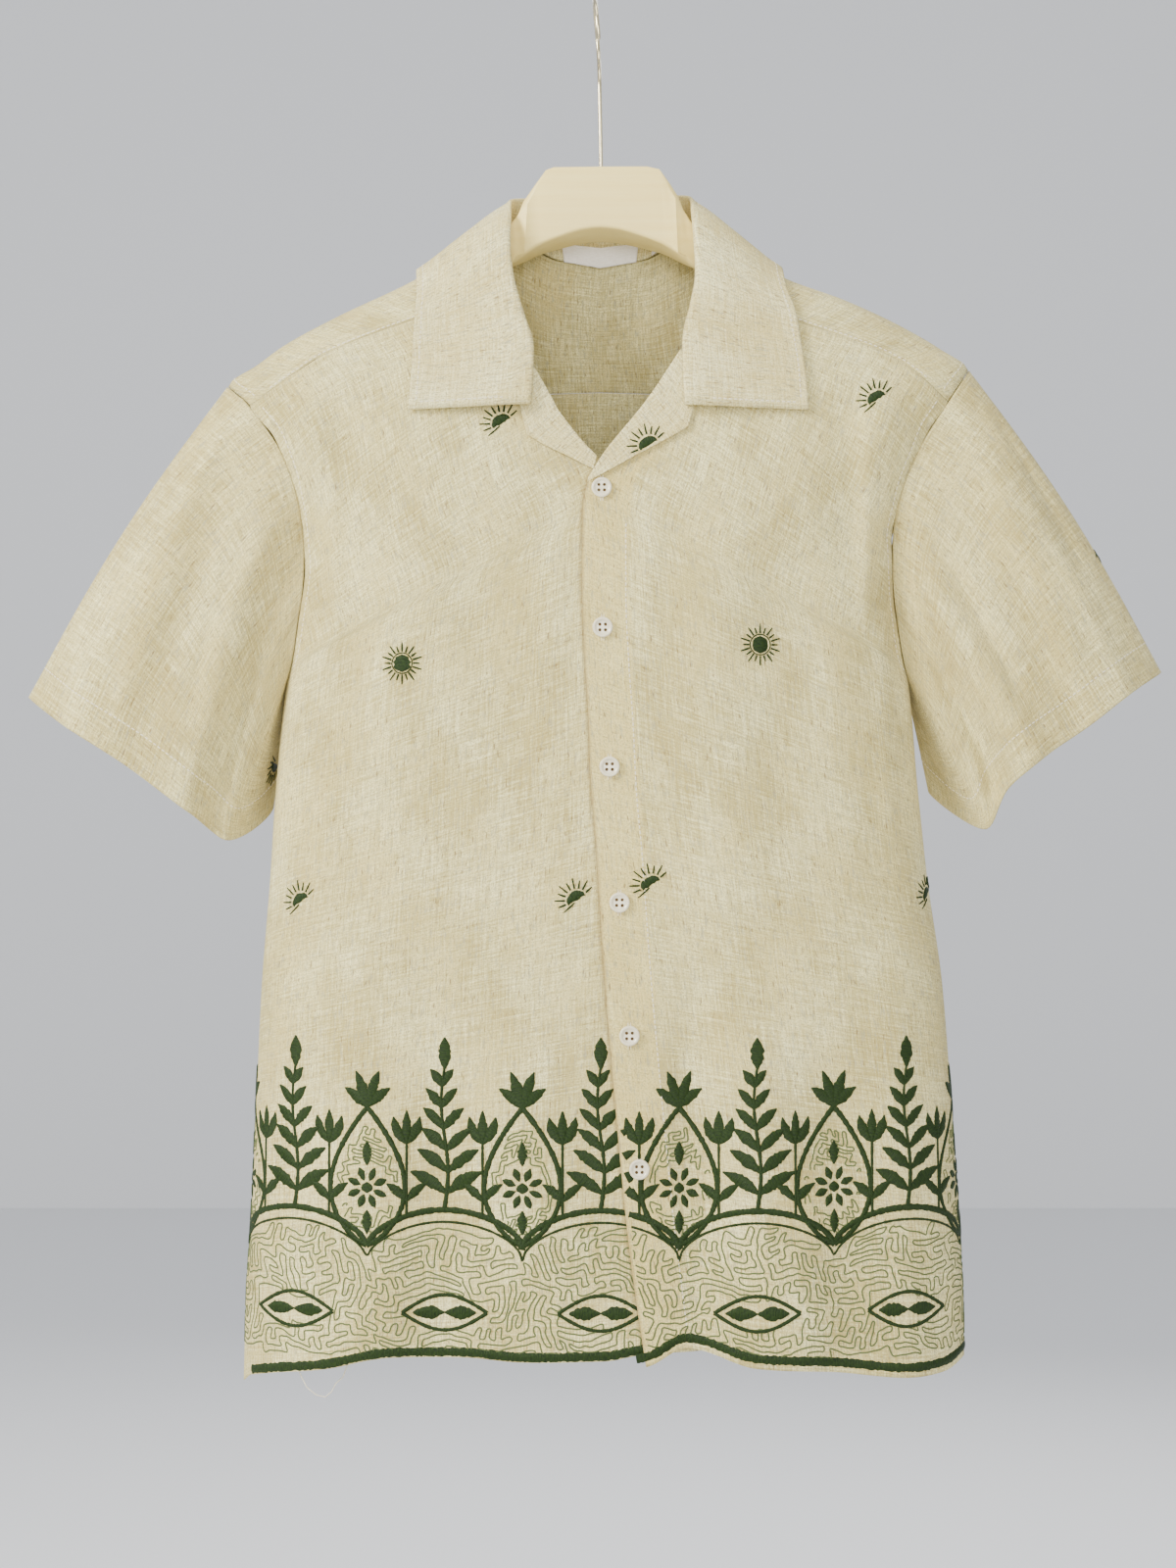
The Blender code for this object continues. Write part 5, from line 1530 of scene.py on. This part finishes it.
def border(low, high):
    """The satin work of the border between two distances along the cloth."""
    strokes = []
    count = int(math.ceil(max(abs(low), abs(high)) / REPEAT)) + 1
    for number in range(-count, count + 1):
        middle = number * REPEAT
        strokes += tall_sprig(middle) + ogee_panel(middle + REPEAT / 2)
        for side in (LEFT, RIGHT):
            strokes += small_tulip(middle + side * REPEAT * TULIP_PLACE)
        share = np.linspace(0, 1, 22)
        arch = EYE_HEIGHT / 2 * np.sin(math.pi * share)
        reach = middle + EYE_LENGTH * (share - 0.5)
        for side in (LEFT, RIGHT):
            strokes.append(line(np.stack([reach, EYE_LEVEL + side * arch], axis=1), 1.2))
            strokes.append(leaf(middle, EYE_LEVEL, (1 - side) * math.pi / 2, 20, 8.5))
    along = np.arange(low - 4, high + 4, 1.5)
    for drop, half_width in ((0, 2.0), (LOWER_LINE, 0.8)):
        strokes.append(line(np.stack([along, scallop(along) - drop], axis=1), half_width))
    return strokes


STIPPLE_STEP, SMALL_STIPPLE_STEP = 3.5, 2.4
STIPPLE_DRIFT, STIPPLE_WANDER = 3.4, 0.27


def drift(along, height):
    """Bends the rows and columns of the stippling out of line."""
    bent = along + STIPPLE_DRIFT * np.sin(0.12 * height + 0.9 * np.sin(0.05 * along))
    return bent, height + STIPPLE_DRIFT * np.sin(0.11 * along + 0.9 * np.sin(0.06 * height))


def stipple(inside, low, high, bottom, top, seed, step=STIPPLE_STEP):
    """A wandering line that fills a region evenly: it runs round a random tree of square cells."""
    draw = random.Random(seed)
    cell = 2 * step
    columns, rows = int((high - low) / cell), int((top - bottom) / cell)
    every = [(i, j) for i in range(columns) for j in range(rows)]
    cells = {(i, j) for i, j in every if inside(*drift(low + (i + 0.5) * cell, bottom + (j + 0.5) * cell))}
    links = {}

    def join(a, b):
        links.setdefault(a, set()).add(b)
        links.setdefault(b, set()).add(a)

    def part(a, b):
        links[a].discard(b)
        links[b].discard(a)

    for i, j in sorted(cells):
        corners = [(2 * i + x, 2 * j + y) for x, y in ((0, 0), (1, 0), (1, 1), (0, 1))]
        for a, b in zip(corners, corners[1:] + corners[:1]):
            join(a, b)
    seen = set()
    for start in sorted(cells):
        if start in seen:
            continue
        seen.add(start)
        trail = [start]
        while trail:
            spot = draw.randrange(len(trail))
            i, j = trail[spot]
            around = ((i + 1, j), (i - 1, j), (i, j + 1), (i, j - 1))
            near = [n for n in around if n in cells and n not in seen]
            if not near:
                trail.pop(spot)
                continue
            to = draw.choice(near)
            seen.add(to)
            trail.append(to)
            x, y = 2 * min(i, to[0]), 2 * min(j, to[1])
            # The walls between the two cells open: two sides go, and two that lead across come.
            a, b, c, d = ((1, 0), (1, 1), (2, 0), (2, 1)) if to[0] != i else ((0, 1), (1, 1), (0, 2), (1, 2))
            a, b, c, d = ((x + right, y + up) for right, up in (a, b, c, d))
            part(a, b)
            part(c, d)
            join(a, c)
            join(b, d)
    strokes = []
    left = set(links)
    while left:
        here = min(left)
        walk = []
        while here in left:
            left.discard(here)
            walk.append(here)
            here = next((n for n in sorted(links[here]) if n in left), here)
        places = np.array([(low + (x + 0.5) * step, bottom + (y + 0.5) * step) for x, y in walk])
        places += np.array([(draw.uniform(-1, 1), draw.uniform(-1, 1)) for _ in walk]) * STIPPLE_WANDER * step
        places = np.stack(drift(places[:, 0], places[:, 1]), axis=1)
        for _ in range(2):
            nearer = 0.75 * places[:-1] + 0.25 * places[1:]
            further = 0.25 * places[:-1] + 0.75 * places[1:]
            places = np.stack([nearer, further], axis=1).reshape(-1, 2)
        strokes.append(line(places, 0.5))
    return strokes


def keep_within(strokes, allowed):
    """Cuts each stroke where allowed(along, height) says no."""
    kept = []
    for places, half_widths in strokes:
        good = allowed(places[:, 0], places[:, 1])
        edges = np.flatnonzero(np.diff(np.concatenate([[False], good, [False]]).astype(int)))
        for start, end in zip(edges[::2], edges[1::2]):
            if end - start >= 3:
                kept.append((places[start:end], half_widths[start:end]))
    return kept


def on_cloth(at, outside, strokes):
    return [on_surface(at, outside, p[:, 0], p[:, 1], w, ON_CLOTH + THREAD_LIFT) for p, w in strokes]


def satin(name, at, outside, strokes, rise=0.6, slot="linen"):
    return ribbons(f"satin_{name}", on_cloth(at, outside, strokes), rise, 4, GREEN_SATIN, slot)


HEM_SATIN_HALF, HEM_SATIN_UP = 2.8, {LEFT: 3.4, RIGHT: 6.4}
BAND_BOTTOM = -864.0
BAND_BELOW_SCALLOP = 11
EYE_CLEAR_ALONG, EYE_CLEAR_UP = 26, 9
OGEE_CLEAR, FLOWER_CLEAR = 5, 16
OGEE_FILL_START, OGEE_FILL_END = 0.08, 0.86
SEAM_CLEAR, EDGE_CLEAR = 3, 2
HEM_REACH = 230


def hem_stroke(hem, up, start, end, count):
    """The satin line along a hem, between two places on it."""
    x = np.linspace(start, end, count)
    height = read(hem, "height", x) + up
    return np.stack([along_of(x, height), height], axis=1), np.full(count, HEM_SATIN_HALF)


def over_hem(hem, up, along, height):
    return height > read(hem, "height", np.clip(along, -HEM_REACH, HEM_REACH)) + up


def side_limit(height):
    """How far along the cloth the side seams lie from the middle, on both sides."""
    wrap = 1 + SIDE_WRAP * ramp(height, UNDERARM_HEIGHT, -900)
    return [read(REACH[side], "reach", height) * QUARTER_LENGTH * wrap for side in (LEFT, RIGHT)]


def in_band(along, height):
    band = BAND_BOTTOM < height < float(scallop(along)) - BAND_BELOW_SCALLOP
    from_eye = abs(along - REPEAT * round(along / REPEAT))
    return band and not (from_eye < EYE_CLEAR_ALONG and abs(height - EYE_LEVEL) < EYE_CLEAR_UP)


def in_ogee(along, height):
    middle = REPEAT * (math.floor(along / REPEAT) + 0.5)
    foot = float(scallop(middle)) + 2
    share = (height - foot) / OGEE_HEIGHT
    if not OGEE_FILL_START < share < OGEE_FILL_END:
        return False
    clear_of_flower = math.hypot(along - middle, height - foot - FLOWER_LEVEL) > FLOWER_CLEAR
    return abs(along - middle) < ogee_half(share) - OGEE_CLEAR and clear_of_flower


def embroider(word, at, outside, low, high, allowed, hem, seed, suns):
    """The satin work and the stippling of one panel, between two distances along its cloth."""
    strokes = keep_within(border(low, high), allowed)
    strokes += keep_within([stroke for sun in suns for stroke in sun], allowed)
    strokes = ragged(strokes + [hem], random.Random(seed + 5))
    fill = stipple(in_band, low - 10, high + 10, BAND_BOTTOM - 12, SCALLOP_LEVEL + SCALLOP_RISE, seed)
    fill += stipple(in_ogee, low, high, SCALLOP_LEVEL, BORDER_TOP, seed + 1, SMALL_STIPPLE_STEP)
    fill = on_cloth(at, outside, keep_within(fill, allowed))
    made = satin(word, at, outside, strokes, BORDER_RISE)
    return [made, ribbons(f"stipple_{word}", fill, STIPPLE_RISE, 2, OLIVE_THREAD, "linen")]


SUNS = {
    LEFT: ((full_sun, -125, -429), (half_sun, -62.5, -277), (half_sun, -190, -580), (half_sun, -15, -578)),
    RIGHT: (
        (full_sun, 100.3, -417.3), (half_sun, 176, -261), (half_sun, 31.8, -568.5),
        (half_sun, 209, -577),
    ),
    "back": (
        (full_sun, -120, -420), (full_sun, 112, -430), (half_sun, -10, -330), (half_sun, -180, -580),
        (half_sun, 30, -575), (half_sun, 200, -572),
    ),
}


def embroider_front(side, word):
    at = by_girth(side, FRONT)

    def allowed(along, height):
        edge = along_of(read(INNER_EDGE[side], "x", height), height)
        left, right = side_limit(height)
        if side == LEFT:
            inside = (along < edge - EDGE_CLEAR) & (along > -left + SEAM_CLEAR)
        else:
            inside = (along > edge + EDGE_CLEAR) & (along < right - SEAM_CLEAR)
        return inside & over_hem(HEM[side], HEM_SATIN_UP[side], along, height)

    low, high, start, end = (-258, 60, -222, 40) if side == LEFT else (-10, 268, 22, 234)
    hem = hem_stroke(HEM[side], HEM_SATIN_UP[side], start, end, 180)
    suns = [sun(float(along_of(x, z)), z) for sun, x, z in SUNS[side]]
    return embroider(f"front_{word}", at, 1, low, high, allowed, hem, 11 + side, suns)


def embroider_back():
    at = by_girth(RIGHT, BACK)

    def allowed(along, height):
        left, right = (2 * read(REACH[side], "reach", height) * QUARTER_LENGTH for side in (LEFT, RIGHT))
        limits = side_limit(height)
        inside = (along > limits[0] - left + SEAM_CLEAR) & (along < right - limits[1] - SEAM_CLEAR)
        return inside & over_hem(BACK_HEM, HEM_SATIN_UP[LEFT], along, height)

    hem = hem_stroke(BACK_HEM, HEM_SATIN_UP[LEFT], -228, 230, 240)
    suns = [sun(x, z) for sun, x, z in SUNS["back"]]
    return embroider("back", at, -1, -240, 246, allowed, hem, 23, suns)


def near_place(at, u0, t0):
    """A small flat patch of a surface, in millimetres from one place on it."""
    across = np.linalg.norm(at(u0 + 0.005, t0) - at(u0 - 0.005, t0)) / 0.01
    down = np.linalg.norm(at(u0, t0 + 0.005) - at(u0, t0 - 0.005)) / 0.01
    return lambda a, b: at(u0 + a / across, t0 + b / down)


SLEEVE_SUNS = {LEFT: (0.515, 0.60), RIGHT: (0.005, 0.60)}


def embroider_sleeve(side, word):
    at = near_place(SLEEVE_SURFACE[side], *(np.array(share) for share in SLEEVE_SUNS[side]))
    return satin(f"sleeve_{word}", at, side, half_sun(0, 0))


LAPEL_LOWER_EDGE = (-8.5, -314.6, 55.8, -279.0)
LAPEL_SUN = (30.5, -291.5)


def embroider_lapel():
    def at(x, height):
        place = on_body(np.asarray(x, float), np.asarray(height, float), FRONT)
        return place - np.array([0, LAPEL_LIFT, 0])

    def above_edge(x, height):
        low_x, low, high_x, high = LAPEL_LOWER_EDGE
        return height > low + (high - low) * (x - low_x) / (high_x - low_x) + 1

    return satin("lapel_right", at, 1, keep_within(half_sun(*LAPEL_SUN), above_edge), slot="collar_linen")


# The wire's (y, height) up its stem, then the bend, in degrees round the bend's middle.
HOOK_STEM = (
    (0.0, -106.7), (0.0, -80.0), (0.0, -58.0), (0.2, -55.0), (0.9, -51.0), (2.6, -47.0), (5.0, -43.5),
    (7.5, -40.6),
)
HOOK_WIRE, HOOK_BEND = 1.3, 21.0
BEND_START, BEND_SWEEP, BEND_STEPS = -48, 250, 40


def make_hook():
    """The wire hook: its top bears on the rail from below the origin."""
    route = list(HOOK_STEM)
    middle = HOOK_WIRE - HOOK_BEND
    for step in range(BEND_STEPS + 1):
        angle = math.radians(BEND_START + step * BEND_SWEEP / BEND_STEPS)
        route.append((HOOK_BEND * math.cos(angle), middle + HOOK_BEND * math.sin(angle)))
    wire = bpy.data.curves.new("hook_wire", "CURVE")
    wire.dimensions = "3D"
    wire.bevel_depth = HOOK_WIRE * MM
    wire.bevel_resolution = 5
    wire.use_fill_caps = True
    spline = wire.splines.new("POLY")
    spline.points.add(len(route) - 1)
    for point, (y, height) in zip(spline.points, route):
        point.co = (float(read(HOOK_LEAN, "x", height)) * MM, y * MM, height * MM, 1)
    spline.use_smooth = True
    keep_piece("hook_wire", wire, brass(), "brass", ("hook",))


ARCH_HALF, ARCH_UNDERCUT = 60.0, 6.0
HANGER_ROUNDING = 2.2
BEVELLED_ANGLE = math.radians(50)


def make_hanger():
    """The wooden bar: a long box cut into stations, its arch hollowed further up at the front."""
    shape = bmesh.new()
    bmesh.ops.create_cube(shape, size=1.0)
    long_edges = [e for e in shape.edges if abs(e.verts[0].co.x - e.verts[1].co.x) > 0.5]
    bmesh.ops.subdivide_edges(shape, edges=long_edges, cuts=len(HANGER_STATIONS) - 2, use_grid_fill=True)
    for vertex in shape.verts:
        x = HANGER_STATIONS[round((vertex.co.x + 0.5) * (len(HANGER_STATIONS) - 1))]
        top = float(np.interp(x, HANGER_TOP["keys"], HANGER_TOP["height"][0]))
        if ARM_START < abs(x) < ARM_END:
            top = float(ridge(LEFT if x < 0 else RIGHT, np.array(abs(x)))) - HANGER_UNDER_CLOTH
        bottom = float(read(HANGER, "bottom", x))
        depth = float(read(HANGER, "half_depth", x))
        if vertex.co.y < 0:
            bottom += ARCH_UNDERCUT * max(0.0, 1 - (x / ARCH_HALF) ** 2)
        place = (x, depth if vertex.co.y > 0 else -depth, top if vertex.co.z > 0 else bottom)
        vertex.co = Vector(place) * MM
    sharp = [e for e in shape.edges if len(e.link_faces) == 2 and e.calc_face_angle() > BEVELLED_ANGLE]
    size = HANGER_ROUNDING * MM
    bmesh.ops.bevel(shape, geom=sharp, offset=size, segments=4, profile=0.5, affect="EDGES", material=-1)
    bmesh.ops.recalc_face_normals(shape, faces=shape.faces[:])
    mesh = mesh_of("birch_hanger", shape)
    mesh.shade_smooth()
    mesh.set_sharp_from_angle(angle=SHARP_ANGLE)
    keep_piece("birch_hanger", mesh, birch(), "wood", ("hanger",))


# Stage, light and camera.


STAGE_HALF = 7.0
STAGE = (("floor", (0, 0, 1), (0, 0, -1.45)), ("backdrop", (0, -1, 0), (0, 5.0, 2.0)))


def make_stage():
    """A pale floor and backdrop, each by the way that it faces and its middle, in metres."""
    for name, facing, place in STAGE:
        shape = bmesh.new()
        bmesh.ops.create_grid(shape, x_segments=1, y_segments=1, size=STAGE_HALF)
        turn = Vector((0, 0, 1)).rotation_difference(Vector(facing)).to_matrix()
        bmesh.ops.rotate(shape, verts=shape.verts[:], cent=(0, 0, 0), matrix=turn)
        bmesh.ops.translate(shape, verts=shape.verts[:], vec=place)
        mesh = mesh_of(name, shape)
        paper = Paint(f"{name}_paper", 0.9)
        paper.constant("Base Color", colour(226, 226, 225))
        mesh.materials.append(paper.material)
        made = bpy.data.objects.new(name, mesh)
        bpy.context.scene.collection.objects.link(made)


AIM = Vector((0, 0, -0.45))  # the middle of the shirt, which every light faces


def make_light(name, place, size, watts, tint):
    data = bpy.data.lights.new(name, "AREA")
    data.shape = "SQUARE"
    data.size = size
    data.energy = watts
    data.color = tint
    made = bpy.data.objects.new(name, data)
    made.location = place
    made.rotation_euler = (Vector(place) - AIM).to_track_quat("Z", "Y").to_euler()
    bpy.context.scene.collection.objects.link(made)


# Each light's name, place and size in metres, its watts and its tint.
LIGHTS = (
    ("window", (-2.3, -1.5, 1.0), 1.1, 160, (1.0, 0.985, 0.95)),
    ("front", (0.1, -3.0, -0.1), 1.4, 60, (1, 1, 1)),
    ("fill", (1.9, -2.4, -0.1), 2.0, 6, (1, 1, 1)),
    ("top", (0.2, -0.5, 1.8), 1.3, 20, (1, 1, 1)),
    ("behind", (0.4, 2.4, 0.6), 1.8, 40, (1, 1, 1)),
)
ROOM_LIGHT = 0.86


def make_lights():
    for light in LIGHTS:
        make_light(*light)
    world = bpy.data.worlds.new("room")
    world.use_nodes = True
    background = world.node_tree.nodes["Background"]
    background.inputs["Color"].default_value = colour(228, 233, 245)
    background.inputs["Strength"].default_value = ROOM_LIGHT
    bpy.context.scene.world = world


CAMERA_PLACE = (-8.0, -2045.0, -505.0)
CAMERA_DISTANCE = 2000.0  # to the plane in which one pixel of the 1600 is 0.62 mm
FRAME_HEIGHT = 1600 * 0.62
SENSOR_HEIGHT = 24.0


def make_camera():
    data = bpy.data.cameras.new("camera")
    data.sensor_fit = "VERTICAL"
    data.sensor_height = SENSOR_HEIGHT
    data.lens = SENSOR_HEIGHT * CAMERA_DISTANCE / FRAME_HEIGHT
    made = bpy.data.objects.new("camera", data)
    made.location = Vector(CAMERA_PLACE) * MM
    made.rotation_euler = (math.pi / 2, 0, 0)
    bpy.context.scene.collection.objects.link(made)
    bpy.context.scene.camera = made


def declare(made):
    piece, others = made
    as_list(others)


def main():
    fronts, back, yoke, sleeves = make_fronts(), make_back(), make_yoke(), make_sleeves()
    collar, lapels = make_collar(), make_lapels()
    for side, word in SIDES:
        fronts[side][1].extend(embroider_front(side, word))
    back[1].extend(embroider_back())
    for side, word in SIDES:
        sleeves[side][1].append(embroider_sleeve(side, word))
    lapels[RIGHT][1].append(embroider_lapel())
    make_hanger()
    declare(yoke)
    declare(back)
    declare(collar)
    for side, word in SIDES:
        declare(fronts[side])
        declare(sleeves[side])
        declare(lapels[side])
    make_labels()
    make_buttons()
    make_hook()
    make_stage()
    make_lights()
    make_camera()


main()
